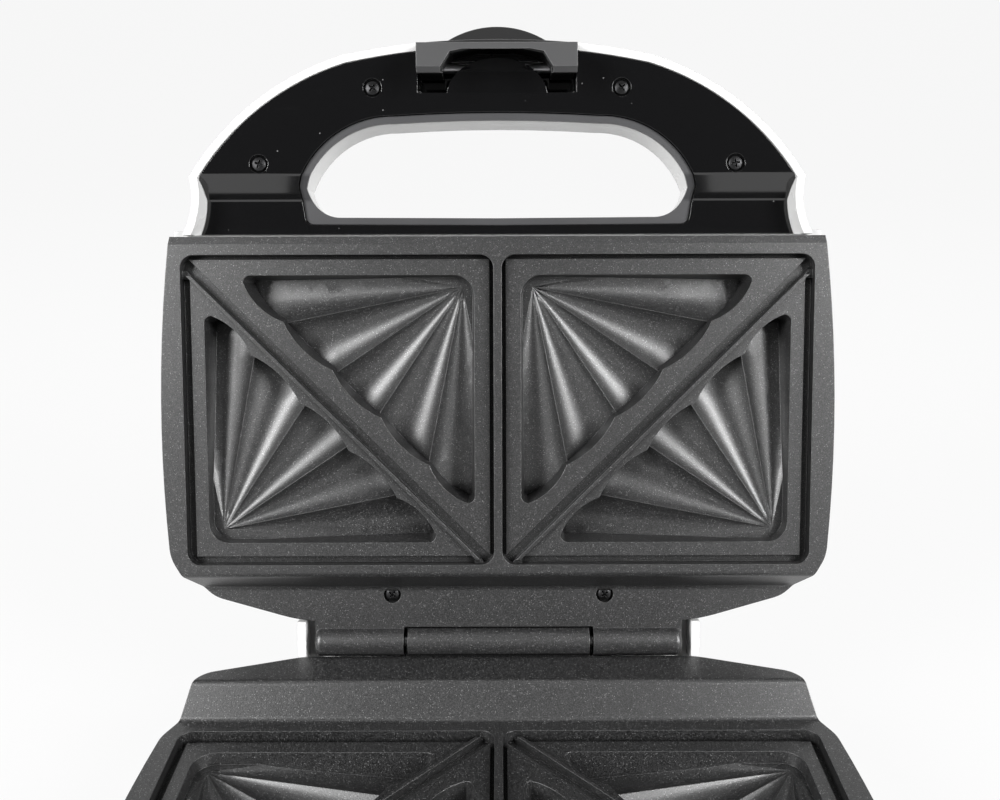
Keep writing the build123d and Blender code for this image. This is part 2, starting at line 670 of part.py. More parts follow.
def screw(length):
    """A cross-headed screw with its head's face at z = 0 and its shank upwards."""
    with BuildPart() as piece:
        Cylinder(SCREW_HEAD_RADIUS, SCREW_HEAD_HEIGHT, align=(Align.CENTER, Align.CENTER, Align.MIN))
        fillet(piece.edges().sort_by(Axis.Z)[0], SCREW_HEAD_HEIGHT / 3)
        Cylinder(SCREW_RADIUS, SCREW_HEAD_HEIGHT + length,
                 align=(Align.CENTER, Align.CENTER, Align.MIN))
        with BuildSketch(Plane.XY):
            for turn in (45, 135):
                with Locations(Location((0, 0, 0), (0, 0, turn))):
                    Rectangle(SCREW_HEAD_RADIUS * 1.3, SCREW_SLOT)
        extrude(amount=SCREW_SLOT, mode=Mode.SUBTRACT)
    return piece.part


def both_sides(places):
    """The given (x, front) places with their mirror images."""
    return [(side * x, front) for x, front in places for side in (1, -1)]


OPENING = opening_plan()
OPENING_EDGE = round_foot(OPENING, OPENING_CORNER)
TUBE_EDGE = round_foot(inset(OPENING, COVER_FIT), OPENING_CORNER)
HOLE_EDGE = round_foot(inset(OPENING, COLLAR_LIP), HOLE_CORNER)
HANDLE = handle_plan()
HANDLE_INSIDE = block(inset(HANDLE, WALL), HANDLE_RIM, HANDLE_DEPTH - WALL, HANDLE_TAPER,
                      HANDLE_ROUND - WALL)
HANDLE_LINER = block(inset(HANDLE, WALL + COVER_FIT), HANDLE_RIM, HANDLE_DEPTH - WALL - COVER_FIT,
                     HANDLE_TAPER, HANDLE_ROUND - WALL)


COVER_ROOM = layer(-SWEEP / 2, COVER_THICKNESS) & HANDLE_INSIDE


def handle_shell():
    """The outer half of a handle, with the tube round the hand opening and four bosses."""
    outside = block(HANDLE, HANDLE_RIM, HANDLE_DEPTH, HANDLE_TAPER, HANDLE_ROUND)
    tube = column(TUBE_EDGE, HANDLE_RIM, HANDLE_DEPTH - WALL / 2)
    with BuildPart() as shell:
        add(outside)
        add(HANDLE_INSIDE, mode=Mode.SUBTRACT)
        add(tube)
        for x, front in both_sides(COVER_SCREWS):
            add(peg(x, front, COVER_BOSS_RADIUS, HANDLE_RIM, HANDLE_DEPTH - WALL / 2))
        add(COVER_ROOM, mode=Mode.SUBTRACT)
        for x, front in both_sides(COVER_SCREWS):
            add(peg(x, front, SCREW_RADIUS, 0, COVER_LEVEL + SCREW_HEAD_HEIGHT + SCREW_GRIP),
                mode=Mode.SUBTRACT)
    return shell.part


def body_shell(outer, inner, rim, posts):
    """A housing: a hollow body with its handle, open towards the plates."""
    handle = handle_shell()
    hole = column(HOLE_EDGE, -1, HANDLE_DEPTH + 1)
    with BuildPart() as shell:
        add(handle)
        add(outer)
        add(inner, mode=Mode.SUBTRACT)
        for x, front, radius, low, high in posts:
            add(peg(x, front, radius, low, high))
            add(rim, mode=Mode.SUBTRACT)
        add(hole, mode=Mode.SUBTRACT)
        add(COVER_ROOM, mode=Mode.SUBTRACT)
    return shell.part


def rim_outline(riser, apron_level, steps):
    """Outline of what is cut off a housing on the plates' side, following the plate's back."""
    far = -SWEEP / 2
    rim = PLATE_RIM + HALF_GAP + RUNNING
    aside = -RUNNING if apron_level > 0 else RUNNING
    end = ring_end(riser, apron_level) + aside
    back = apron_level + APRON_THICKNESS
    points = [(-COVER_BACK, far), (-COVER_BACK, rim), (end, rim)]
    if apron_level > 0:
        points.append((end, SLAB + HALF_GAP + RUNNING))
    points.append((inner_line(riser, apron_level, back) + aside, back + HALF_GAP + RUNNING))
    return points + list(steps) + [(steps[-1][0], far)]


# ---------------------------------------------------------------- lid housing
lid_plan = plate_plan(UPPER_REAR, BODY_FRONT, drawn_in=HOUSING_INSET)
lid_hollow = plate_plan(UPPER_REAR, BODY_FRONT, drawn_in=HOUSING_INSET + WALL)
lid_rim = PLATE_RIM + HALF_GAP + RUNNING
apron_back = UPPER_APRON + APRON_THICKNESS + HALF_GAP + RUNNING
lid_outer = block(lid_plan, lid_rim, LID_HEIGHT, BODY_TAPER, BODY_ROUND)
lid_outer += hinge_rod(BARREL_RADIUS, -BARREL_HALF, BARREL_HALF, HINGE_RISE)
lid_inner = block(lid_hollow, lid_rim, LID_HEIGHT - WALL, BODY_TAPER, BODY_ROUND - WALL)
barrel_inside = BARREL_HALF - BARREL_END_WALL
lid_inner += hinge_rod(BARREL_RADIUS - WALL, -barrel_inside, barrel_inside, HINGE_RISE)
lid_cut = across(rim_outline(UPPER_RISER, UPPER_APRON, (
    (UPPER_APRON_REACH + SEAT, apron_back), (UPPER_APRON_REACH + SEAT, HINGE_RISE - BARREL_RIM_DROP),
    (HINGE_BACK + 2 * BARREL_RADIUS, HINGE_RISE - BARREL_RIM_DROP))), SWEEP / 2)
apron_bosses = [(side * APRON_SCREW[0], -APRON_SCREW[1], POST_RADIUS, apron_back, LID_HEIGHT - WALL / 2)
                for side in (1, -1)]
lid_pegs = [(side * x, front, PEG_RADIUS, HALF_GAP + REFLECTOR_LEVEL + REFLECTOR_SHEET,
             LID_HEIGHT - WALL / 2) for x, front in PEG_PLACES for side in (1, -1)]
upper_housing = body_shell(lid_outer, lid_inner, lid_cut, apron_bosses + lid_pegs)
with BuildPart() as upper_shell:
    add(upper_housing)
    for side in (1, -1):
        add(peg(side * APRON_SCREW[0], -APRON_SCREW[1], SCREW_RADIUS, apron_back,
                apron_back + SCREW_GRIP), mode=Mode.SUBTRACT)
        add(peg(side * LENS_PLACE[0], LENS_PLACE[1], LENS_RADIUS, LID_HEIGHT - 2 * WALL,
                LID_HEIGHT + 1), mode=Mode.SUBTRACT)
    add(slab_box(-LATCH_HALF - MOVING, LATCH_HALF + MOVING, LATCH_REST, HANDLE_FRONT + 5, -1,
                 LATCH_ROOF), mode=Mode.SUBTRACT)

# ---------------------------------------------------------------- base housing
base_plan = plate_plan(LOWER_REAR, BODY_FRONT, HUMP_HALF, HUMP_BACK, HOUSING_INSET)
base_hollow = plate_plan(LOWER_REAR, BODY_FRONT, HUMP_HALF - WALL, HUMP_BACK - WALL,
                         HOUSING_INSET + WALL)
apron_under = -(LOWER_APRON - APRON_THICKNESS - HALF_GAP) + RUNNING
base_outer = block(base_plan, lid_rim, BASE_DEPTH, BODY_TAPER, BODY_ROUND)
rear_wall = slab_box(-SWEEP / 2, SWEEP / 2, -SWEEP / 2, 0, apron_under - 1, lid_rim)
base_outer += column(base_plan, apron_under - 1, lid_rim) & rear_wall
base_inner = block(base_hollow, lid_rim, BASE_DEPTH - WALL, BODY_TAPER, BODY_ROUND - WALL)
base_inner += column(base_hollow, apron_under - 2, lid_rim)
base_inner -= hinge_rod(SCOOP_RADIUS + WALL, -SCOOP_HALF - WALL, SCOOP_HALF + WALL, -HINGE_RISE)
base_cut = across(rim_outline(LOWER_RISER, -LOWER_APRON, (
    (LOWER_APRON_REACH, apron_under), (HUMP_BACK + 1, HUMP_RIM),)), SWEEP / 2)
foot_x, *foot_fronts = FOOT_PLACE
foot_places = [(side * foot_x, front) for front in foot_fronts for side in (1, -1)]
post_end = HALF_GAP + SLAB + POST_HEIGHT
base_posts = [(0, front, SINK_RADIUS + WALL, post_end + RUNNING, BASE_DEPTH - WALL / 2)
              for front in PLATE_POSTS]
base_posts += [(side * x, front, PEG_RADIUS, HALF_GAP + REFLECTOR_LEVEL + REFLECTOR_SHEET,
                BASE_DEPTH - WALL / 2) for x, front in PEG_PLACES for side in (1, -1)]
base_posts += [(x, front, FOOT_RADIUS + WALL, BASE_DEPTH - WALL - FOOT_SUNK, BASE_DEPTH - WALL / 2)
               for x, front in foot_places]
lower_housing = body_shell(base_outer, base_inner, base_cut, base_posts)
with BuildPart() as lower_shell:
    add(lower_housing)
    for front in PLATE_POSTS:
        add(peg(0, front, SCREW_RADIUS + RUNNING, post_end - 1, BASE_DEPTH), mode=Mode.SUBTRACT)
        add(peg(0, front, SINK_RADIUS, post_end + POST_FLOOR, BASE_DEPTH + 1), mode=Mode.SUBTRACT)
    for x, front in foot_places:
        add(peg(x, front, FOOT_RADIUS, BASE_DEPTH - FOOT_SUNK, BASE_DEPTH + 1), mode=Mode.SUBTRACT)
    add(slab_box(-LATCH_HALF - MOVING, LATCH_HALF + MOVING, LATCH_REST, HANDLE_FRONT + 5, -1,
                 CATCH_DEPTH), mode=Mode.SUBTRACT)
    add(Pos(GLAND_X, HINGE_BACK, GLAND_LEVEL) * Rot(-90, 0, 0) * Cylinder(
        GLAND_RADIUS, SWEEP / 4, mode=Mode.PRIVATE,
        align=(Align.CENTER, Align.CENTER, Align.MIN)), mode=Mode.SUBTRACT)
open_lid = Pos(0, HINGE_BACK, HINGE_RISE) * Rot(-LID_OPEN_ANGLE, 0, 0)
swept = open_lid * Pos(0, 0, -BARREL_RIM_DROP - SEAT) * Box(
    SWEEP, SWEEP, SWEEP, align=(Align.CENTER, Align.CENTER, Align.MIN))
scoop = hinge_rod(SCOOP_RADIUS, -SCOOP_HALF, SCOOP_HALF, HINGE_RISE) & swept
lower_shell.part = mirrored(lower_shell.part) - scoop


# ---------------------------------------------------------------- handle covers
def cover(pockets, notches):
    """A black cover with counterbored screw holes; pockets hang behind it round the latch."""
    sheet = layer(0, COVER_THICKNESS) & HANDLE_LINER
    trays = [pocket & HANDLE_LINER for pocket in pockets]
    opening = column(OPENING_EDGE, -1, HANDLE_DEPTH)
    with BuildPart() as piece:
        add(sheet)
        for tray in trays:
            add(tray)
        add(opening, mode=Mode.SUBTRACT)
        for x, front in both_sides(COVER_SCREWS):
            add(peg(x, front, SCREW_RADIUS + RUNNING, 0, HANDLE_DEPTH), mode=Mode.SUBTRACT)
            add(peg(x, front, COUNTERBORE_RADIUS, 0, COVER_LEVEL + SCREW_HEAD_HEIGHT),
                mode=Mode.SUBTRACT)
        for notch in notches:
            add(notch, mode=Mode.SUBTRACT)
    return piece.part


latch_pocket = slab_box(-LATCH_HALF - MOVING - POCKET_WALL, LATCH_HALF + MOVING + POCKET_WALL,
                        LATCH_REST - POCKET_WALL, HANDLE_FRONT, COVER_LEVEL, LATCH_ROOF + POCKET_WALL)
latch_room = slab_box(-LATCH_HALF - MOVING, LATCH_HALF + MOVING, LATCH_REST, HANDLE_FRONT + 5, -1,
                      LATCH_ROOF)
pivot_front, pivot_level = LATCH_PIVOT
with BuildSketch() as dome:
    with Locations((0, 1 - LATCH_REST)):
        Ellipse(LUG_HALF, LUG_FRONT - LATCH_REST + 1)
        Rectangle(2 * LUG_HALF, 2 * LUG_HALF, align=(Align.CENTER, Align.MIN), mode=Mode.SUBTRACT)
latch_lug = column(dome.sketch, LUG_LEVEL, LATCH_ROOF + 1)


def latch_rod(radius, half):
    """A round bar along the latch's pivot."""
    bar = Cylinder(radius, 2 * half, mode=Mode.PRIVATE)
    return Pos(0, -pivot_front, pivot_level) * Rot(0, 90, 0) * bar


upper_cover_sheet = cover([latch_pocket], [latch_room])
with BuildPart() as upper_handle_cover:
    add(upper_cover_sheet)
    add(latch_lug)
    add(latch_rod(LATCH_PIN_RADIUS, LATCH_HALF + MOVING + POCKET_WALL), mode=Mode.SUBTRACT)

catch_wall = slab_box(-LATCH_HALF - MOVING - POCKET_WALL, LATCH_HALF + MOVING + POCKET_WALL,
                      LATCH_REST - POCKET_WALL, HANDLE_FRONT, COVER_LEVEL, CATCH_DEPTH + POCKET_WALL)
catch_room = slab_box(-LATCH_HALF - MOVING, LATCH_HALF + MOVING, LATCH_REST, HANDLE_FRONT + 5, -1,
                      CATCH_DEPTH)
nibs = []
for side in (1, -1):
    span = sorted((side * (LATCH_HALF + MOVING), side * (LATCH_HALF - LATCH_LEG - MOVING)))
    nibs.append(slab_box(*span, LATCH_REST - 1, NIB_FRONT, *NIB_LEVELS))
lower_cover_sheet = cover([catch_wall], [catch_room])
with BuildPart() as lower_handle_cover:
    add(lower_cover_sheet)
    for nib in nibs:
        add(nib)
lower_handle_cover.part = mirrored(lower_handle_cover.part)

collar = column(TUBE_EDGE, 0, HANDLE_DEPTH) - column(HOLE_EDGE, -1, HANDLE_DEPTH + 1)
collar = collar & layer(COLLAR_SINK, COVER_THICKNESS)
with BuildPart() as upper_grip_collar:
    add(collar)
with BuildPart() as lower_grip_collar:
    add(mirrored(collar))

# ---------------------------------------------------------------- screws
head_seat = COVER_LEVEL
cover_screw = screw(SCREW_GRIP)
with BuildPart() as upper_cover_screws:
    for x, front in both_sides(COVER_SCREWS):
        add(Pos(x, -front, head_seat) * cover_screw)
with BuildPart() as lower_cover_screws:
    add(mirrored(upper_cover_screws.part))
with BuildPart() as upper_plate_screws:
    for side in (1, -1):
        add(Pos(side * APRON_SCREW[0], APRON_SCREW[1], UPPER_APRON + HALF_GAP) * cover_screw)
base_screw = screw(POST_FLOOR + SCREW_GRIP)
with BuildPart() as lower_plate_screws:
    for front in PLATE_POSTS:
        seat = post_end + POST_FLOOR + SCREW_HEAD_HEIGHT
        add(Pos(0, -front, -seat) * base_screw)

# ---------------------------------------------------------------- latch
with BuildSketch() as latch_outline:
    with BuildLine():
        corner = (LATCH_HALF, -LATCH_FRONT + LATCH_BOW)
        ThreePointArc((0, -LATCH_FRONT), (LATCH_HALF / 2, -LATCH_FRONT + LATCH_BOW / 4), corner)
        Polyline(corner, (LATCH_HALF, -LATCH_BACK), (LATCH_ARCH[0][0], -LATCH_BACK),
                 *[lies(*point) for point in LATCH_ARCH], (0, -LATCH_ARCH[-1][1]))
        mirror(about=Plane.YZ)
    make_face()
with BuildSketch() as lip_outline:
    with BuildLine():
        lip_end = (LATCH_LIP_HALF, -LATCH_FRONT + LATCH_BOW)
        ThreePointArc((-lip_end[0], lip_end[1]), (0, -LATCH_LIP_REACH), lip_end)
        Line(lip_end, (-lip_end[0], lip_end[1]))
    make_face()
leg_front = LATCH_FRONT - LATCH_BOW
leg_outline = [(-front, level) for front, level in (
    (leg_front, LATCH_LOW + 1), (LATCH_TIP_FRONT, -LATCH_REACH),
    (LATCH_NOSE_BACK + LATCH_NOSE_SLOPE, -LATCH_REACH),
    (LATCH_NOSE_BACK, -LATCH_REACH + LATCH_NOSE_SLOPE), (LATCH_NOSE_BACK, -LATCH_REACH + LATCH_NOSE),
    (LATCH_TIP_FRONT - LATCH_LEG_THICKNESS, -LATCH_REACH + LATCH_NOSE),
    (leg_front - LATCH_LEG_THICKNESS, LATCH_LOW + 1))]
latch_leg = across(leg_outline, LATCH_LEG / 2)
latch_skirt = across([(-front, level) for front, level in (
    (leg_front, LATCH_LOW + 1), (LATCH_TIP_FRONT, -LATCH_REACH),
    (LATCH_TIP_FRONT - LATCH_SKIRT, -LATCH_REACH), (leg_front - LATCH_SKIRT, LATCH_LOW + 1))],
    LATCH_HALF - LATCH_LEG / 2)
latch_tip = column(latch_outline.sketch, -LATCH_REACH, LATCH_NOSE - LATCH_REACH)
latch_tip = Pos(0, leg_front - LATCH_TIP_FRONT, 0) * latch_tip & across(leg_outline, LATCH_HALF)
latch_lip = column(lip_outline.sketch, *LATCH_LIP_LEVELS)
latch_body = column(latch_outline.sketch, LATCH_LOW, LATCH_TOP)
with BuildPart() as latch:
    add(latch_body)
    add(latch_lip)
    add(latch_skirt)
    add(latch_tip)
    for side in (1, -1):
        add(Pos(side * (LATCH_HALF - LATCH_LEG / 2), 0, 0) * latch_leg)
    add(latch_rod(LATCH_PIN_RADIUS + RUNNING, LATCH_HALF + 1), mode=Mode.SUBTRACT)
with BuildPart() as latch_pin:
    add(latch_rod(LATCH_PIN_RADIUS, LATCH_HALF + MOVING + POCKET_WALL - SEAT))

# ---------------------------------------------------------------- hinge pin
with BuildPart() as hinge_pin:
    add(hinge_rod(PIN_RADIUS, PIN_SETBACK - OUTER_KNUCKLE_END, OUTER_KNUCKLE_END - PIN_SETBACK,
                  HINGE_RISE))

# ---------------------------------------------------------------- heating
with BuildPart() as upper_heater:
    with BuildLine() as run:
        top = HEATER_LEVEL + HEATER_LEG
        FilletPolyline((-HEATER_GAP, -HEATER_REAR, top), (-HEATER_GAP, -HEATER_REAR, HEATER_LEVEL),
                       (-HEATER_SIDE, -HEATER_REAR, HEATER_LEVEL),
                       (-HEATER_SIDE, -HEATER_FRONT, HEATER_LEVEL),
                       (HEATER_SIDE, -HEATER_FRONT, HEATER_LEVEL),
                       (HEATER_SIDE, -HEATER_REAR, HEATER_LEVEL),
                       (HEATER_GAP, -HEATER_REAR, HEATER_LEVEL), (HEATER_GAP, -HEATER_REAR, top),
                       radius=HEATER_BEND)
    with BuildSketch(Plane(run.line @ 0, z_dir=run.line % 0)):
        Circle(HEATER_RADIUS)
    sweep()
with BuildPart() as lower_heater:
    add(mirrored(upper_heater.part))

reflector_top = HALF_GAP + REFLECTOR_LEVEL + REFLECTOR_SHEET
reflector_box = slab_box(-REFLECTOR_HALF, REFLECTOR_HALF, *REFLECTOR_SPAN,
                         reflector_top - REFLECTOR_FLANGE, reflector_top)
reflector_hollow = slab_box(REFLECTOR_SHEET - REFLECTOR_HALF, REFLECTOR_HALF - REFLECTOR_SHEET,
                            REFLECTOR_SPAN[0] + REFLECTOR_SHEET, REFLECTOR_SPAN[1] - REFLECTOR_SHEET,
                            0, reflector_top - REFLECTOR_SHEET)
with BuildPart() as upper_reflector:
    add(reflector_box)
    add(reflector_hollow, mode=Mode.SUBTRACT)
with BuildPart() as lower_reflector:
    add(reflector_box)
    add(reflector_hollow, mode=Mode.SUBTRACT)
    for front in PLATE_POSTS:
        add(peg(0, front, SINK_RADIUS + WALL + SEAT, 0, BASE_DEPTH), mode=Mode.SUBTRACT)
lower_reflector.part = mirrored(lower_reflector.part)

thermostat_x, thermostat_front = THERMOSTAT_PLACE
with BuildPart() as thermostat:
    add(peg(thermostat_x, thermostat_front, THERMOSTAT_RADIUS, POCKET_BACK,
            POCKET_BACK + THERMOSTAT_BASE))
    add(peg(thermostat_x, thermostat_front, THERMOSTAT_CAN, POCKET_BACK,
            POCKET_BACK + THERMOSTAT_HEIGHT))
fuse_x, fuse_front = FUSE_PLACE
with BuildPart() as thermal_fuse:
    for radius, half in ((FUSE_RADIUS, FUSE_HALF), (FUSE_LEAD_RADIUS, FUSE_HALF + FUSE_LEAD)):
        add(Pos(fuse_x, -fuse_front, POCKET_BACK + FUSE_RADIUS) * Rot(0, 90, 0)
            * Cylinder(radius, 2 * half, mode=Mode.PRIVATE))

# ---------------------------------------------------------------- base fittings
block_size = TERMINAL_BLOCK
with BuildPart() as terminal_block:
    with Locations((TERMINAL_PLACE[0], -TERMINAL_PLACE[1], WALL - BASE_DEPTH)):
        Box(*block_size, align=(Align.CENTER, Align.CENTER, Align.MIN))
    with BuildSketch(Plane.XY.offset(WALL - BASE_DEPTH + block_size[2])):
        with Locations((TERMINAL_PLACE[0], -TERMINAL_PLACE[1])):
            with GridLocations(block_size[0] / 3, block_size[1] / 2, 3, 2):
                Circle(TERMINAL_HOLE)
    extrude(amount=-block_size[2] / 2, mode=Mode.SUBTRACT)
with BuildPart() as feet:
    with BuildSketch(Plane.XY.offset(-PARTING_HEIGHT)):
        with Locations([(x, -front) for x, front in foot_places]):
            Circle(FOOT_RADIUS)
    extrude(amount=FOOT_HEIGHT + FOOT_SUNK)
    chamfer(feet.faces().group_by(Axis.Z)[0].edges(), FOOT_CHAMFER)
with BuildPart() as cord_gland:
    with BuildSketch(Plane((GLAND_X, 0, -GLAND_LEVEL), x_dir=(1, 0, 0), z_dir=(0, 1, 0)).offset(
            HUMP_BACK - GLAND_INSIDE)):
        Circle(GLAND_RADIUS)
        Circle(GLAND_BORE, mode=Mode.SUBTRACT)
    extrude(amount=GLAND_INSIDE + GLAND_REACH)
    with BuildSketch(Plane((GLAND_X, 0, -GLAND_LEVEL), x_dir=(1, 0, 0), z_dir=(0, 1, 0)).offset(
            HUMP_BACK - HOUSING_INSET)):
        Circle(GLAND_FLANGE)
        Circle(GLAND_BORE, mode=Mode.SUBTRACT)
    extrude(amount=GLAND_FLANGE_THICKNESS)


def lamp(side):
    """One lens in the lid's crown, with a flange below the wall."""
    with BuildPart() as lens:
        add(peg(side * LENS_PLACE[0], LENS_PLACE[1], LENS_RADIUS, LID_HEIGHT - 2 * WALL,
                LID_HEIGHT + LENS_DOME))
        fillet(lens.faces().sort_by(Axis.Z)[-1].edges(), LENS_DOME)
        add(peg(side * LENS_PLACE[0], LENS_PLACE[1], LENS_RADIUS + LENS_FLANGE,
                LID_HEIGHT - 2 * WALL, LID_HEIGHT - WALL))
    return lens.part


# ---------------------------------------------------------------- open pose and files
base_pieces = {
    "lower_shell": lower_shell.part, "lower_handle_cover": lower_handle_cover.part,
    "lower_grip_collar": lower_grip_collar.part, "lower_cover_screws": lower_cover_screws.part,
    "lower_plate": lower_plate.part, "lower_plate_screws": lower_plate_screws.part,
    "lower_heater": lower_heater.part, "lower_reflector": lower_reflector.part,
    "feet": feet.part, "cord_gland": cord_gland.part, "terminal_block": terminal_block.part,
    "hinge_pin": hinge_pin.part,
}
lid_pieces = {
    "upper_shell": upper_shell.part, "upper_handle_cover": upper_handle_cover.part,
    "upper_grip_collar": upper_grip_collar.part, "upper_cover_screws": upper_cover_screws.part,
    "upper_plate": upper_plate.part, "upper_plate_screws": upper_plate_screws.part,
    "upper_heater": upper_heater.part, "upper_reflector": upper_reflector.part,
    "thermostat": thermostat.part, "thermal_fuse": thermal_fuse.part,
    "power_lens": lamp(1), "ready_lens": lamp(-1), "latch_pin": latch_pin.part,
    "latch": latch.part,
}
hinge = Axis((0, HINGE_BACK, HINGE_RISE), (1, 0, 0))
swing = Pos(0, HINGE_BACK, HINGE_RISE) * Rot(-LID_OPEN_ANGLE, 0, 0) * Pos(0, -HINGE_BACK, -HINGE_RISE)
pieces = dict(base_pieces)
pieces.update({name: swing * piece for name, piece in lid_pieces.items()})
boxes = [piece.bounding_box() for piece in pieces.values()]
middle = (min(box.min.Y for box in boxes) + max(box.max.Y for box in boxes)) / 2
to_table = Pos(0, -middle, PARTING_HEIGHT)
for name, piece in pieces.items():
    placed = to_table * piece
    placed.label = name
    export_step(placed, f"parts/{name}.step")

hinge_point = (to_table * Pos(0, HINGE_BACK, HINGE_RISE)).position
pivot_point = (to_table * swing * Pos(0, -pivot_front, pivot_level)).position
print("hinge", tuple(hinge_point), "latch pivot", tuple(pivot_point))
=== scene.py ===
"""A two-slice sandwich toaster standing open, dressed and lit for a studio photograph."""
import json
import logging
import math
from dataclasses import dataclass
from enum import Enum
from typing import Any, Iterable, Mapping, Sequence

import bmesh
import bpy
from mathutils import Matrix, Vector


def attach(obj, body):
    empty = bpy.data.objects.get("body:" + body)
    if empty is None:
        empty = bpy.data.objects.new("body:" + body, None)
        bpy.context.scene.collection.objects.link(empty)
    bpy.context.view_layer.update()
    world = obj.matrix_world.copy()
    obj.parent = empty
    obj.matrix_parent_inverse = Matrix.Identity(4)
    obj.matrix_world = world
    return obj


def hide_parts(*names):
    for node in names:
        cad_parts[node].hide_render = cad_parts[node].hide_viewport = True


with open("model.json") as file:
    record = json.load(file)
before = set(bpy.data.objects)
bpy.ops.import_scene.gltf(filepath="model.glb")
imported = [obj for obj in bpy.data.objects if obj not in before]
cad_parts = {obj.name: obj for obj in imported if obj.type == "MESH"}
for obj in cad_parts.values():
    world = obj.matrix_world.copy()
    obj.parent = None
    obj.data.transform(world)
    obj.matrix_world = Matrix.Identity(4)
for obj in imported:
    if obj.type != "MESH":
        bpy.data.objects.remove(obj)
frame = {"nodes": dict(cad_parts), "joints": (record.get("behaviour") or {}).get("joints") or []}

logging.basicConfig(level=logging.INFO, format="%(levelname)s %(message)s")
log = logging.getLogger("toaster")

MM = 0.001
EDGE_COSINES = (0.72, 0.995)    # softened against true normal: wholly an edge, wholly a flat
RAY_SAMPLES = 6                 # rays of the rounding and crevice nodes
SAME_PLACE_M = 1e-7             # points of a piece closer than this are one
WHITE = (1.0, 1.0, 1.0)

Color = tuple[float, float, float]
Span = tuple[float, float]
Point = tuple[float, float, float]


# ------------------------------------------------------------------ where things are
@dataclass(frozen=True)
class Stance:
    """Where the toaster's working frame lies: hinge line, parting plane and the lid's opening.

    A place is given as in the drawings: x to the right, front as the distance in front of
    the plates' rear end and level above the parting plane, all in millimetres.
    """

    hinge_back: float = 26.0
    hinge_rise: float = 14.5
    open_angle: float = 105.5

    def hinge(self) -> Vector:
        """The middle of the hinge line, in metres."""
        joint = next(j for j in frame["joints"] if j["name"] == "lid_hinge")
        return Vector(joint["pos_m"])

    def base(self) -> Matrix:
        """Drawing frame of the base, in millimetres, to the scene."""
        shift = self.hinge() - Vector((0, self.hinge_back, self.hinge_rise)) * MM
        return Matrix.Translation(shift) @ Matrix.Diagonal((MM, -MM, MM, 1.0))

    def lid(self) -> Matrix:
        """Drawing frame of the lid, in millimetres, to the scene, with the lid open."""
        swing = Matrix.Rotation(-math.radians(self.open_angle), 4, "X")
        to_hinge = Matrix.Translation(self.hinge())
        return to_hinge @ swing @ to_hinge.inverted() @ self.base()


STANCE = Stance()


# ------------------------------------------------------------------ shader maths
class Value:
    """A number that varies over a surface; arithmetic on it adds Math nodes."""

    def __init__(self, net: "Network", socket: bpy.types.NodeSocket) -> None:
        """Wrap a socket of a network."""
        self.net = net
        self.socket = socket

    def _math(self, operation: str, *terms: Any) -> "Value":
        """Add one Math node fed with terms in order."""
        inputs = dict(enumerate(terms))
        made = self.net.node("ShaderNodeMath", {"operation": operation}, inputs)
        return Value(self.net, made.outputs[0])

    def __add__(self, other: Any) -> "Value":
        """Sum."""
        return self._math("ADD", self, other)

    __radd__ = __add__

    def __mul__(self, other: Any) -> "Value":
        """Product."""
        return self._math("MULTIPLY", self, other)

    def __sub__(self, other: Any) -> "Value":
        """Difference."""
        return self._math("SUBTRACT", self, other)

    def __rsub__(self, other: Any) -> "Value":
        """Difference with this value taken away."""
        return self._math("SUBTRACT", other, self)

    def __gt__(self, other: Any) -> "Value":
        """One where this value is the larger, else nought."""
        return self._math("GREATER_THAN", self, other)

    def __lt__(self, other: Any) -> "Value":
        """One where this value is the smaller, else nought."""
        return self._math("LESS_THAN", self, other)

    def size(self) -> "Value":
        """This value without its sign."""
        return self._math("ABSOLUTE", self)

    def ramp(self, low: float, high: float) -> "Value":
        """Rise smoothly from nought at low to one at high.

        Args:
            low: value that gives nought.
            high: value that gives one.

        Returns:
            The eased value.
        """
        made = self.net.node(
            "ShaderNodeMapRange", {"interpolation_type": "SMOOTHSTEP"},
            {"Value": self, "From Min": low, "From Max": high})
        return Value(self.net, made.outputs["Result"])


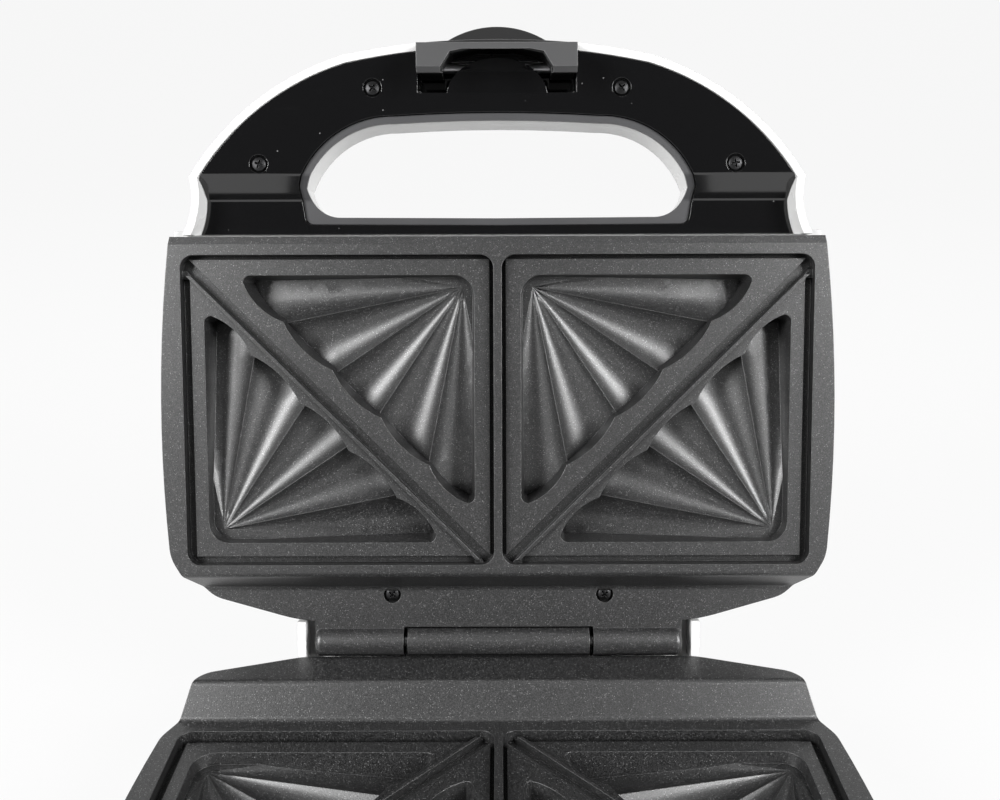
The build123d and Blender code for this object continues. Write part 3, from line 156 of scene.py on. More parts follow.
class Network:
    """The nodes of one finish, or of the world."""

    def __init__(self, name: str, owner: bpy.types.World | None = None) -> None:
        """Start an empty material of that name, or empty the owner's nodes."""
        self.material = owner or bpy.data.materials.new(name)
        self.material.use_nodes = True
        self.tree = self.material.node_tree
        self.tree.nodes.clear()
        self._place: bpy.types.Node | None = None

    def node(self, kind: str, settings: Mapping[str, Any] | None = None,
             inputs: Mapping[Any, Any] | None = None) -> bpy.types.Node:
        """Add any node: its settings first, then the values or links of its sockets.

        Args:
            kind: node type.
            settings: attributes set before the sockets are read.
            inputs: socket name or number, to a number, colour, socket or Value.

        Returns:
            The node.
        """
        made = self.tree.nodes.new(kind)
        for key, value in (settings or {}).items():
            setattr(made, key, value)
        for key, value in (inputs or {}).items():
            self.feed(made.inputs[key], value)
        return made

    def feed(self, socket: bpy.types.NodeSocket, value: Any) -> None:
        """Set a socket, or link it where the value is one of the network's own."""
        if isinstance(value, Value):
            value = value.socket
        if isinstance(value, bpy.types.NodeSocket):
            self.tree.links.new(value, socket)
        elif isinstance(value, tuple) and len(value) == 3 and socket.type == "RGBA":
            socket.default_value = (*value, 1.0)
        else:
            socket.default_value = value

    def place(self) -> bpy.types.NodeSocket:
        """Object coordinates of the point that is shaded."""
        if self._place is None:
            self._place = self.node("ShaderNodeTexCoord")
        return self._place.outputs["Object"]

    def placed(self, turn: Point = (0.0, 0.0, 0.0),
               scale: Point = (1.0, 1.0, 1.0)) -> bpy.types.NodeSocket:
        """Object coordinates, turned and scaled."""
        made = self.node("ShaderNodeMapping", {}, {
            "Vector": self.place(), "Rotation": turn, "Scale": scale})
        return made.outputs["Vector"]

    def dot(self, first: Any, second: Any) -> Value:
        """Dot product of two vectors."""
        made = self.node("ShaderNodeVectorMath", {"operation": "DOT_PRODUCT"},
                         {0: first, 1: second})
        return Value(self, made.outputs["Value"])

    def drawn(self, to_scene: Matrix) -> tuple[Value, Value, Value]:
        """The point's place in a drawing frame.

        Args:
            to_scene: matrix from that frame, in millimetres, to the scene.

        Returns:
            Its x, front and level in millimetres.
        """
        rows = to_scene.inverted()
        return tuple(self.dot(self.place(), tuple(row[:3])) + row[3] for row in rows[:3])

    def noise(self, per_mm: float, detail: float = 2.0, roughness: float = 0.5,
              vector: bpy.types.NodeSocket | None = None) -> Value:
        """Soft noise whose blotches number per_mm to a millimetre."""
        made = self.node("ShaderNodeTexNoise", {"noise_dimensions": "3D"}, {
            "Vector": vector or self.place(), "Scale": per_mm / MM, "Detail": detail,
            "Roughness": roughness})
        return Value(self, made.outputs["Fac"])

    def grains(self, per_mm: float) -> tuple[Value, Value]:
        """Scattered cells.

        Args:
            per_mm: cells to a millimetre.

        Returns:
            The distance to the nearest cell's middle, and a number of its own for each cell.
        """
        made = self.node("ShaderNodeTexVoronoi", {"feature": "F1"}, {
            "Vector": self.place(), "Scale": per_mm / MM})
        own = self.node("ShaderNodeSeparateColor", {}, {0: made.outputs["Color"]})
        return Value(self, made.outputs["Distance"]), Value(self, own.outputs[0])

    def mixed(self, factor: Value, first: Color | bpy.types.NodeSocket,
              second: Color | bpy.types.NodeSocket) -> bpy.types.NodeSocket:
        """A colour between two, by a factor."""
        made = self.node("ShaderNodeMix", {"data_type": "RGBA"}, {0: factor, 6: first, 7: second})
        return made.outputs[2]

    def bump(self, height: Value, depth: float, strength: float = 1.0,
             normal: bpy.types.NodeSocket | None = None) -> bpy.types.NodeSocket:
        """A bumped normal.

        Args:
            height: what is raised, from nought to one.
            depth: real height of one, in millimetres.
            strength: how much of it is felt.
            normal: normal to start from.

        Returns:
            The normal.
        """
        inputs: dict[Any, Any] = {"Height": height, "Distance": depth * MM, "Strength": strength}
        if normal is not None:
            inputs["Normal"] = normal
        return self.node("ShaderNodeBump", {}, inputs).outputs["Normal"]

    def softened(self, radius: float) -> bpy.types.NodeSocket:
        """The normal with every edge rounded over by a radius in millimetres."""
        made = self.node("ShaderNodeBevel", {"samples": RAY_SAMPLES}, {"Radius": radius * MM})
        return made.outputs[0]

    def openness(self, reach: float) -> Value:
        """One on open faces, towards nought in crevices within a reach in millimetres."""
        made = self.node("ShaderNodeAmbientOcclusion", {"samples": RAY_SAMPLES},
                         {"Distance": reach * MM})
        return Value(self, made.outputs["AO"])

    # the edge mask serves for wear on the edges and for painted edge highlights on every finish
    # that lightens its edges
    def edge_wear_and_highlight(self, normal: bpy.types.NodeSocket) -> Value:
        """Nought on the flats and about one where a softened normal turns away over an edge."""
        own = self.node("ShaderNodeNewGeometry").outputs["Normal"]
        return 1.0 - self.dot(own, normal).ramp(*EDGE_COSINES)

    def seen_by(self, *rays: str) -> Value:
        """More than nought for the named kinds of ray."""
        path = self.node("ShaderNodeLightPath")
        first, *others = (Value(self, path.outputs[f"Is {ray} Ray"]) for ray in rays)
        for other in others:
            first = first + other
        return first

    def shader(self, kind: str, **sockets: Any) -> bpy.types.NodeSocket:
        """A shader.

        Args:
            kind: its node type, without the common beginning.
            sockets: its inputs, with underscores for spaces.

        Returns:
            What comes out of it.
        """
        named = {key.replace("_", " "): value for key, value in sockets.items()}
        return self.node(f"ShaderNode{kind}", {}, named).outputs[0]

    def blended(self, factor: Value, first: bpy.types.NodeSocket,
                second: bpy.types.NodeSocket) -> bpy.types.NodeSocket:
        """A shader between two, by a factor."""
        return self.node("ShaderNodeMixShader", {}, {0: factor, 1: first, 2: second}).outputs[0]

    def close(self, shader: bpy.types.NodeSocket, output: str = "Material") -> bpy.types.Material:
        """End the network in a shader.

        Args:
            shader: what it shows.
            output: kind of the output node.

        Returns:
            The finished material.
        """
        self.node(f"ShaderNodeOutput{output}", {}, {"Surface": shader})
        return self.material

    def surface(self, **sockets: Any) -> bpy.types.Material:
        """End the network in a Principled surface with these inputs."""
        return self.close(self.shader("BsdfPrincipled", **sockets))


def toned(colour: Color, by: float, plus: float = 0.0) -> Color:
    """A colour made lighter or darker by a factor and an amount."""
    return tuple(min(1.0, part * by + plus) for part in colour)


# ------------------------------------------------------------------ finishes
@dataclass(frozen=True)
class SpeckledCoat:
    """Dark baked non-stick coat with a fine metallic speckle, on cast plates."""

    dark: Color = (0.003, 0.003, 0.0031)
    light: Color = (0.030, 0.030, 0.0305)
    fine_per_mm: float = 2.7
    fine_span: Span = (0.40, 0.62)
    grains_per_mm: float = 2.6
    fleck: Color = (0.26, 0.26, 0.26)
    fleck_cover: float = 0.8
    flecked_grains: Span = (0.78, 1.0)
    fleck_fade: Span = (0.20, 0.50)
    # wear on the edges and painted edge highlight: a light tone over the coat's edges that also
    # stands in for the highlights along its rims and ribs
    rubbed_and_highlight: Color = (0.22, 0.22, 0.22)
    rubbed_and_highlight_cover: float = 0.22
    cloud_per_mm: float = 0.03
    roughness: float = 0.34
    cloud_rough: float = 0.05
    fine_rough: float = 0.06
    fleck_smooth: float = 0.06
    gloss: float = 0.95
    grain_lift: float = 0.6
    fine_lift: float = 0.7
    pebble: float = 0.040
    pebble_strength: float = 0.8
    rounding: float = 0.35
    # painted shade in crevices: how far the occlusion reaches, how it ramps, and how much coat is
    # kept under it
    crevice: float = 3.0
    crevice_shade_span: Span = (0.30, 0.72)
    coat_kept_in_crevice_shade: float = 0.1
    shade: Color = (0.003, 0.003, 0.003)
    shade_roughness: float = 0.7
    shade_gloss: float = 0.1

    def material(self) -> bpy.types.Material:
        """Build the coat, with painted shade in its crevices: a matt near-black surface blended
        over it by occlusion.
        """
        net = Network("speckled_coat")
        away, own = net.grains(self.grains_per_mm)
        fine = net.noise(self.fine_per_mm, detail=1.0, roughness=0.6)
        cloud = net.noise(self.cloud_per_mm, detail=3.0)
        soft = net.softened(self.rounding)
        edge_wear_and_highlight_mask = net.edge_wear_and_highlight(soft)
        tone = net.mixed(fine.ramp(*self.fine_span), self.dark, self.light)
        fleck = own.ramp(*self.flecked_grains) * (1.0 - away.ramp(*self.fleck_fade))
        base = net.mixed(fleck * self.fleck_cover, tone, self.fleck)
        # wear on the edges and painted edge highlight: the coat is lightened where the softened
        # normal turns over an edge
        base = net.mixed(edge_wear_and_highlight_mask * self.rubbed_and_highlight_cover, base, self.rubbed_and_highlight)
        height = (1.0 - away) * self.grain_lift + fine * self.fine_lift
        rough = self.roughness + cloud * self.cloud_rough - fleck * self.fleck_smooth
        coat = net.shader(
            "BsdfPrincipled", Base_Color=base, Roughness=rough + fine * self.fine_rough,
            Specular_IOR_Level=self.gloss,
            Normal=net.bump(height, self.pebble, self.pebble_strength, soft))
        # painted shade: a matt near-black surface laid over the coat in crevices, where shade falls
        shaded = net.shader(
            "BsdfPrincipled", Base_Color=self.shade, Roughness=self.shade_roughness,
            Specular_IOR_Level=self.shade_gloss)
        open_sky = net.openness(self.crevice).ramp(*self.crevice_shade_span)
        factor = open_sky * (1.0 - self.coat_kept_in_crevice_shade) + self.coat_kept_in_crevice_shade
        return net.close(net.blended(factor, shaded, coat))


@dataclass(frozen=True)
class WhiteMoulding:
    """Glossy white housing with a faint orange-peel, handling marks and painted shade on the walls
    of the latch recesses.
    """

    tone: Color = (0.66, 0.66, 0.656)
    smeared: float = 0.965
    smear_per_mm: float = 0.02
    smear_span: Span = (0.3, 0.8)
    smear_rough: float = 0.10
    roughness: float = 0.22
    gloss: float = 0.5
    peel_per_mm: float = 0.35
    peel_depth: float = 0.02
    peel_strength: float = 0.5
    rounding: float = 0.5
    # painted shade: near-black tone for the white walls of the latch recesses, where shade falls
    recess: Color = (0.008, 0.008, 0.0085)
    recess_half: float = 27.0
    recess_rear: float = 165.0
    recess_depth: float = 14.05
    recess_rim: float = 1.0

    def _painted_recess_shade(self, net: Network) -> Value:
        """One on the walls of the two recesses behind the covers, where the latch swings, which get
        a painted shade.
        """
        x, front, level = net.drawn(STANCE.lid())
        inside = (front > self.recess_rear) * (self.recess_depth > level)
        inside = inside * (level > -self.recess_rim)
        _, low_front, low_level = net.drawn(STANCE.base())
        below = (low_front > self.recess_rear) * (self.recess_depth > low_level.size())
        below = below * (self.recess_rim > low_level)
        return (self.recess_half > x.size()) * (inside + below)

    def material(self) -> bpy.types.Material:
        """Build the moulding."""
        net = Network("white_moulding")
        peel = net.noise(self.peel_per_mm)
        smear = net.noise(self.smear_per_mm, detail=4.0, roughness=0.6)
        soft = net.softened(self.rounding)
        tint = net.mixed(smear.ramp(*self.smear_span), self.tone, toned(self.tone, self.smeared))
        # painted shade on the latch recesses' walls
        tint = net.mixed(self._painted_recess_shade(net), tint, self.recess)
        return net.surface(
            Base_Color=tint, Roughness=self.roughness + smear * self.smear_rough,
            Specular_IOR_Level=self.gloss,
            Normal=net.bump(peel, self.peel_depth, self.peel_strength, soft))


@dataclass(frozen=True)
class BlackGloss:
    """Polished black cover with hair scratches, specks of dust and edges lightened for wear and as
    a painted highlight.
    """

    tone: Color = (0.0035, 0.0035, 0.0038)
    # wear on the edges and painted edge highlight: lighter tone over the cover's edges
    rubbed_and_highlight: Color = (0.03, 0.03, 0.03)
    rubbed_and_highlight_cover: float = 0.2
    roughness: float = 0.06
    gloss: float = 0.8
    rounding: float = 0.35
    dust: Color = (0.12, 0.12, 0.12)
    dust_per_mm: float = 0.42
    dusty_cells: float = 0.93
    dust_fade: Span = (0.05, 0.13)
    dust_rough: float = 0.4
    haze_per_mm: float = 0.03
    haze_rough: float = 0.05
    scratch_per_mm: float = 0.5
    scratch_rough: float = 0.08
    scratch_turn: Point = (0.3, 0.2, 0.5)
    scratch_stretch: Point = (0.06, 1.0, 1.0)
    scratch_span: Span = (0.66, 0.72)
    scratch_depth: float = 0.003
    scratch_strength: float = 0.2

    def material(self) -> bpy.types.Material:
        """Build the cover's finish."""
        net = Network("black_gloss")
        soft = net.softened(self.rounding)
        edge_wear_and_highlight_mask = net.edge_wear_and_highlight(soft)
        away, own = net.grains(self.dust_per_mm)
        dust = (own > self.dusty_cells) * (1.0 - away.ramp(*self.dust_fade))
        haze = net.noise(self.haze_per_mm, detail=4.0, roughness=0.6)
        along = net.noise(self.scratch_per_mm, detail=3.0, roughness=0.7,
                          vector=net.placed(self.scratch_turn, self.scratch_stretch))
        scratch = along.ramp(*self.scratch_span)
        base = net.mixed(dust, self.tone, self.dust)
        # wear on the edges and painted edge highlight
        base = net.mixed(edge_wear_and_highlight_mask * self.rubbed_and_highlight_cover, base, self.rubbed_and_highlight)
        rough = self.roughness + haze * self.haze_rough + scratch * self.scratch_rough
        return net.surface(
            Base_Color=base, Roughness=rough + dust * self.dust_rough,
            Specular_IOR_Level=self.gloss,
            Normal=net.bump(along, self.scratch_depth, self.scratch_strength, soft))


@dataclass(frozen=True)
class SatinGrey:
    """Fine-grained satin moulding in one colour, with edges lightened for wear and as a painted
    highlight.
    """

    name: str
    tone: Color
    roughness: float
    rubbed_and_highlight_cover: float
    rounding: float = 0.3
    grain_per_mm: float = 1.8
    grain_depth: float = 0.008
    grain_strength: float = 0.6
    grain_rough: float = 0.08
    clouded: float = 1.12
    cloud_per_mm: float = 0.05
    cloud_span: Span = (0.3, 0.75)
    # wear on the edges and painted edge highlight: how much lighter the edges are made
    rubbed_and_highlight: Span = (2.4, 0.03)

    def material(self) -> bpy.types.Material:
        """Build the moulding."""
        net = Network(self.name)
        soft = net.softened(self.rounding)
        edge_wear_and_highlight_mask = net.edge_wear_and_highlight(soft)
        grain = net.noise(self.grain_per_mm, roughness=0.6)
        cloud = net.noise(self.cloud_per_mm, detail=3.0)
        base = net.mixed(cloud.ramp(*self.cloud_span), self.tone, toned(self.tone, self.clouded))
        # wear on the edges and painted edge highlight
        base = net.mixed(edge_wear_and_highlight_mask * self.rubbed_and_highlight_cover, base, toned(self.tone, *self.rubbed_and_highlight))
        return net.surface(
            Base_Color=base, Roughness=self.roughness + grain * self.grain_rough,
            Normal=net.bump(grain, self.grain_depth, self.grain_strength, soft))


@dataclass(frozen=True)
class HookMoulding:
    """Satin grey latch, one moulding shown lit and shaded: painted lighter on the hooks' flat ends
    and painted shade on the thumb lip behind them, with edges lightened for wear and as a painted
    highlight.
    """

    # painted light and shade: the same grey, lighter on the hooks' ends and darker on the thumb lip
    # in shade
    lit_end_tone: Color = (0.050, 0.050, 0.051)
    shaded_lip_tone: Color = (0.006, 0.006, 0.0062)
    # wear on the edges and painted edge highlight: light tone over the latch's edges
    rubbed_and_highlight: Color = (0.46, 0.46, 0.46)
    rubbed_and_highlight_cover: float = 0.45
    lit_to_shaded_levels: Span = (-8.0, -3.0)
    roughness: float = 0.40
    rounding: float = 0.35
    grain_per_mm: float = 1.8
    grain_depth: float = 0.008
    grain_strength: float = 0.6
    grain_rough: float = 0.08

    def material(self) -> bpy.types.Material:
        """Build the moulding."""
        net = Network("latch_satin")
        soft = net.softened(self.rounding)
        edge_wear_and_highlight_mask = net.edge_wear_and_highlight(soft)
        grain = net.noise(self.grain_per_mm, roughness=0.6)
        _, _, level = net.drawn(STANCE.lid())
        # painted shade on the thumb lip and painted light on the hooks' ends, by level
        base = net.mixed(level.ramp(*self.lit_to_shaded_levels), self.lit_end_tone, self.shaded_lip_tone)
        # wear on the edges and painted edge highlight
        base = net.mixed(edge_wear_and_highlight_mask * self.rubbed_and_highlight_cover, base, self.rubbed_and_highlight)
        return net.surface(
            Base_Color=base, Roughness=self.roughness + grain * self.grain_rough,
            Normal=net.bump(grain, self.grain_depth, self.grain_strength, soft))


@dataclass(frozen=True)
class Steel:
    """Worked metal: drawn, pressed or blackened, with marks along one direction."""

    name: str
    tone: Color
    roughness: float
    metallic: float = 1.0
    stretch: Point = (0.1, 1.0, 1.0)
    rounding: float = 0.15
    stained: float = 0.72
    stain_per_mm: float = 0.12
    stain_span: Span = (0.35, 0.75)
    stain_rough: float = 0.08
    # wear on the edges and painted edge highlight: how much lighter the metal's edges are made
    rubbed_and_highlight: Span = (1.5, 0.05)
    rubbed_and_highlight_cover: float = 0.5
    mark_per_mm: float = 2.5
    mark_rough: float = 0.16
    mark_depth: float = 0.006
    mark_strength: float = 0.5

    def material(self) -> bpy.types.Material:
        """Build the metal."""
        net = Network(self.name)
        soft = net.softened(self.rounding)
        edge_wear_and_highlight_mask = net.edge_wear_and_highlight(soft)
        marks = net.noise(self.mark_per_mm, detail=3.0, roughness=0.6,
                          vector=net.placed(scale=self.stretch))
        stain = net.noise(self.stain_per_mm, detail=4.0, roughness=0.6)
        base = net.mixed(stain.ramp(*self.stain_span), self.tone, toned(self.tone, self.stained))
        # wear on the edges and painted edge highlight
        base = net.mixed(edge_wear_and_highlight_mask * self.rubbed_and_highlight_cover, base, toned(self.tone, *self.rubbed_and_highlight))
        return net.surface(
            Base_Color=base, Metallic=self.metallic,
            Roughness=self.roughness + marks * self.mark_rough + stain * self.stain_rough,
            Normal=net.bump(marks, self.mark_depth, self.mark_strength, soft))


@dataclass(frozen=True)
class Rubber:
    """Matt black rubber with a dusty bloom."""

    tone: Color = (0.028, 0.028, 0.028)
    bloom: Color = (0.055, 0.054, 0.052)
    bloom_per_mm: float = 0.15
    bloom_span: Span = (0.4, 0.8)
    bloom_rough: float = 0.14
    roughness: float = 0.68
    rounding: float = 0.3
    pore_per_mm: float = 2.2
    pore_depth: float = 0.02
    pore_strength: float = 0.5

    def material(self) -> bpy.types.Material:
        """Build the rubber."""
        net = Network("matt_rubber")
        soft = net.softened(self.rounding)
        bloom = net.noise(self.bloom_per_mm, detail=4.0, roughness=0.6)
        pores = net.noise(self.pore_per_mm)
        base = net.mixed(bloom.ramp(*self.bloom_span), self.tone, self.bloom)
        return net.surface(
            Base_Color=base, Roughness=self.roughness + bloom * self.bloom_rough,
            Normal=net.bump(pores, self.pore_depth, self.pore_strength, soft))


@dataclass(frozen=True)
class Lens:
    """Clear coloured lens with a moulded-in grain."""

    name: str
    tone: Color
    swirled: float = 0.7
    swirl_per_mm: float = 0.5
    swirl_span: Span = (0.3, 0.8)
    swirl_rough: float = 0.05
    roughness: float = 0.07
    refraction: float = 1.49
    clearness: float = 0.55
    swirl_depth: float = 0.03
    swirl_strength: float = 0.4

    def material(self) -> bpy.types.Material:
        """Build the lens."""
        net = Network(self.name)
        swirl = net.noise(self.swirl_per_mm)
        base = net.mixed(swirl.ramp(*self.swirl_span), self.tone, toned(self.tone, self.swirled))
        return net.surface(
            Base_Color=base, Roughness=self.roughness + swirl * self.swirl_rough,
            IOR=self.refraction, Transmission_Weight=self.clearness,
            Normal=net.bump(swirl, self.swirl_depth, self.swirl_strength))


class Finish(Enum):
    """The finishes of the toaster, by what they are on."""

    PLATE = SpeckledCoat()
    HOUSING = WhiteMoulding()
    COVER = BlackGloss()
    COLLAR = SatinGrey("collar_satin", (0.040, 0.040, 0.042), roughness=0.40, rubbed_and_highlight_cover=0.6)
    LATCH = HookMoulding()
    THERMOPLASTIC = SatinGrey("pale_block", (0.62, 0.60, 0.55), roughness=0.5, rubbed_and_highlight_cover=0.1)
    BLACK_SCREW = Steel("blackened_steel", (0.035, 0.035, 0.036), roughness=0.30)
    ROD = Steel("drawn_rod", (0.45, 0.45, 0.46), roughness=0.28)
    SHEATH = Steel("heater_sheath", (0.30, 0.28, 0.27), roughness=0.42)
    SHEET = Steel("rolled_sheet", (0.80, 0.80, 0.81), roughness=0.22)
    CAN = Steel("pressed_can", (0.55, 0.53, 0.50), roughness=0.30)
    RUBBER = Rubber()
    RED_LENS = Lens("red_lens", (0.62, 0.02, 0.015))
    GREEN_LENS = Lens("green_lens", (0.03, 0.42, 0.05))

    def material(self) -> bpy.types.Material:
        """The finish's material, built once."""
        if self not in _MADE:
            _MADE[self] = self.value.material()
        return _MADE[self]


_MADE: dict[Finish, bpy.types.Material] = {}


# ------------------------------------------------------------------ objects and meshes
def linked(name: str, data: Any) -> bpy.types.Object:
    """A new object in the scene, with its data."""
    made = bpy.data.objects.new(name, data)
    bpy.context.scene.collection.objects.link(made)
    return made


def mesh_of(name: str, shape: bmesh.types.BMesh) -> bpy.types.Mesh:
    """A mesh from a bmesh, which is freed here."""
    mesh = bpy.data.meshes.new(name)
    shape.to_mesh(mesh)
    shape.free()
    return mesh


def dress(finish: Finish, *nodes: str) -> None:
    """Give carried-over nodes a finish.

    Args:
        finish: what they get.
        nodes: their names.
    """
    for name in nodes:
        mesh = frame["nodes"][name].data
        mesh.materials.clear()
        mesh.materials.append(finish.material())
        log.info("dressed %s in %s", name, finish.name.lower())


def piece_from(name: str, shape: bmesh.types.BMesh, body: str, finish: Finish,
               smooth_angle: float = 30.0) -> bpy.types.Object:
    """Turn a finished bmesh into a piece that rides on a body.

    Args:
        name: the piece's name.
        shape: its bmesh in metres, freed here.
        body: body it rides on.
        finish: its finish.
        smooth_angle: faces that meet at less than this many degrees are shaded smooth.

    Returns:
        The object.
    """
    bmesh.ops.remove_doubles(shape, verts=shape.verts, dist=SAME_PLACE_M)
    bmesh.ops.recalc_face_normals(shape, faces=shape.faces)
    limit = math.radians(smooth_angle)
    for face in shape.faces:
        face.smooth = True
    for edge in shape.edges:
        edge.smooth = len(edge.link_faces) == 2 and edge.calc_face_angle(math.pi) < limit
    mesh = mesh_of(name, shape)
    piece = linked(name, mesh)
    mesh.materials.append(finish.material())
    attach(piece, body)
    log.info("built %s: %d faces", name, len(mesh.polygons))
    return piece


def joined(parts: Iterable[bmesh.types.BMesh]) -> bmesh.types.BMesh:
    """Several bmeshes as one.

    Args:
        parts: bmeshes, freed here.

    Returns:
        The one that holds them all.
    """
    whole = bmesh.new()
    for part in parts:
        carrier = mesh_of("carrier", part)
        whole.from_mesh(carrier)
        bpy.data.meshes.remove(carrier)
    return whole


def turned(profile: Sequence[Span], steps: int) -> bmesh.types.BMesh:
    """A shape turned about Z from a profile.

    Args:
        profile: (radius, height) points from the axis at one end to the axis at the other.
        steps: divisions of the turn.

    Returns:
        The closed shape.
    """
    shape = bmesh.new()
    turns = [2 * math.pi * k / steps for k in range(steps)]
    rings = [[shape.verts.new((radius * math.cos(turn), radius * math.sin(turn), height))
              for turn in (turns if radius else turns[:1])] for radius, height in profile]
    for first, second in zip(rings, rings[1:]):
        for k in range(steps):
            n = (k + 1) % steps
            corners = (first[k % len(first)], first[n % len(first)],
                       second[n % len(second)], second[k % len(second)])
            shape.faces.new(list(dict.fromkeys(corners)))
    bmesh.ops.recalc_face_normals(shape, faces=shape.faces)
    return shape


def moved(shape: bmesh.types.BMesh, matrix: Matrix) -> bmesh.types.BMesh:
    """The same shape after a transform."""
    bmesh.ops.transform(shape, matrix=matrix, verts=shape.verts)
    return shape


# ------------------------------------------------------------------ screws
@dataclass
class CrossScrew:
    """A pan-headed screw with a cross recess, head face at z = 0 and shank upwards, in mm."""

    head_radius: float = 2.3
    head_height: float = 1.6
    dome: float = 0.35
    crown: float = 0.9          # the dome ends at this share of the head's radius
    rim_drop: float = 1.25      # the rim's level, as a share of the dome
    shank_radius: float = 1.35
    shank_steps: int = 20
    thread_height: float = 0.15
    thread_start: float = 0.6
    thread_spare: float = 2.0   # length that carries no thread
    pitch: float = 0.9
    length: float = 9.0
    point: float = 1.0
    slot_half: float = 1.45
    slot_width: float = 0.62
    slot_depth: float = 1.05
    slot_draft: float = 0.55    # the recess's floor, as a share of its mouth
    arm_straight: float = 0.85  # an arm's straight side, as a share of its reach
    arm_end: float = 0.5        # an arm's flat end, as a share of its width

    def head(self) -> bmesh.types.BMesh:
        """The head: a domed disc whose cross recess narrows towards its floor."""
        shape = bmesh.new()
        outline = self._cross(self.slot_half, self.slot_width / 2)
        ring = [shape.verts.new((x, y, self._rise(x, y))) for x, y in outline]
        rim = []
        for x, y in outline:
            scale = self.head_radius * self.crown / math.hypot(x, y)
            rim.append(shape.verts.new((x * scale, y * scale, self._rise(x * scale, y * scale))))
        edge = [shape.verts.new((v.co.x / self.crown, v.co.y / self.crown,
                                 self.dome * self.rim_drop)) for v in rim]
        foot = [shape.verts.new((v.co.x, v.co.y, self.head_height)) for v in edge]
        deep = [shape.verts.new((x * self.slot_draft, y * self.slot_draft, self.slot_depth))
                for x, y in outline]
        count = len(ring)
        for first, second in ((deep, ring), (ring, rim), (rim, edge), (edge, foot)):
            for k in range(count):
                n = (k + 1) % count
                shape.faces.new((first[k], first[n], second[n], second[k]))
        shape.faces.new(deep)
        shape.faces.new(list(reversed(foot)))
        bmesh.ops.recalc_face_normals(shape, faces=shape.faces)
        return shape

    def _rise(self, x: float, y: float) -> float:
        """Height of the domed face, which falls away from the middle."""
        return self.dome * (x * x + y * y) / self.head_radius ** 2

    def _cross(self, reach: float, half: float) -> list[Span]:
        """Outline of a cross, clockwise, with cut-off corners at the arms' ends."""
        side, end = reach * self.arm_straight, half * self.arm_end
        arm = [(half, half), (side, half), (reach, end), (reach, -end), (side, -half)]
        outline = []
        for quarter in range(4):
            turn = -quarter * math.pi / 2
            for x, y in arm:
                outline.append((x * math.cos(turn) - y * math.sin(turn),
                                x * math.sin(turn) + y * math.cos(turn)))
        return outline

    def shank(self) -> bmesh.types.BMesh:
        """The shank with ridges for its thread and a point."""
        start = self.head_height
        turns = int((self.length - self.thread_spare) / self.pitch)
        profile = [(0.0, start), (self.shank_radius, start)]
        root = self.shank_radius - self.thread_height
        for k in range(turns):
            level = start + self.thread_start + k * self.pitch
            profile += [(root, level), (self.shank_radius, level + self.pitch / 2)]
        profile += [(root, start + self.length - self.point), (0.0, start + self.length)]
        return turned(profile, self.shank_steps)

    def shape(self, turn: float) -> bmesh.types.BMesh:
        """The whole screw, its cross turned by an angle in degrees."""
        whole = joined((self.head(), self.shank()))
        return moved(whole, Matrix.Rotation(math.radians(turn), 4, "Z"))


@dataclass
class Fasteners:
    """The screws: four in each cover, two in the lid's apron, two underneath."""

    cover_places: tuple[Span, ...] = ((41.8, 167.5), (80.4, 142.5))
    cover_level: float = 1.6
    apron_places: tuple[Span, ...] = ((38.2, -8.5),)
    apron_level: float = 12.75
    turns: tuple[float, ...] = (38.0, 52.0, 12.0, 71.0, 29.0, 64.0)

    def _row(self, places: Sequence[Span], level: float, to_scene: Matrix,
             down: bool) -> bmesh.types.BMesh:
        """Screws at mirrored (x, front) places, pointing away from the parting plane.

        Args:
            places: where they are on the right.
            level: how far their faces stand off the parting plane.
            to_scene: matrix from the drawing frame to the scene.
            down: whether they point down from that plane.

        Returns:
            All of them as one shape.
        """
        way = -1 if down else 1
        flip = Matrix.Diagonal((1, 1, way, 1))
        both = [(side * x, front, way * level) for x, front in places for side in (1, -1)]
        return joined(
            moved(CrossScrew().shape(self.turns[k % len(self.turns)]),
                  to_scene @ Matrix.Translation(place) @ flip)
            for k, place in enumerate(both))

    def build(self) -> None:
        """Make the three sets that show, and dress the one underneath."""
        lid, base = STANCE.lid(), STANCE.base()
        sets = (
            ("upper_cover_screws", "lid", self.cover_places, self.cover_level, lid, False),
            ("upper_plate_screws", "lid", self.apron_places, self.apron_level, lid, False),
            ("lower_cover_screws", "base", self.cover_places, self.cover_level, base, True))
        for node, body, places, level, to_scene, down in sets:
            shape = self._row(places, level, to_scene, down)
            piece = piece_from(f"{node}_turned", shape, body, Finish.BLACK_SCREW)
            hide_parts(node)
        dress(Finish.BLACK_SCREW, "lower_plate_screws")


# ------------------------------------------------------------------ carried-over sub-assemblies
@dataclass
class CookingPlates:
    """The two cast plates, hinged on a rod."""

    plates: tuple[str, ...] = ("lower_plate", "upper_plate")
    rod: str = "hinge_pin"

    def build(self) -> None:
        """Dress the castings and the rod."""
        dress(Finish.PLATE, *self.plates)
        dress(Finish.ROD, self.rod)


@dataclass
class Housings:
    """White shells with their black covers and grey grip collars."""

    shells: tuple[str, ...] = ("lower_shell", "upper_shell")
    covers: tuple[str, ...] = ("lower_handle_cover", "upper_handle_cover")
    collars: tuple[str, ...] = ("lower_grip_collar", "upper_grip_collar")

    def build(self) -> None:
        """Dress shells, covers and collars."""
        dress(Finish.HOUSING, *self.shells)
        dress(Finish.COVER, *self.covers)
        dress(Finish.COLLAR, *self.collars)


@dataclass
class HookLatch:
    """The swinging latch in the lid's handle."""

    hook: str = "latch"
    pin: str = "latch_pin"

    def build(self) -> None:
        """Dress the hook and its pin."""
        dress(Finish.LATCH, self.hook)
        dress(Finish.ROD, self.pin)


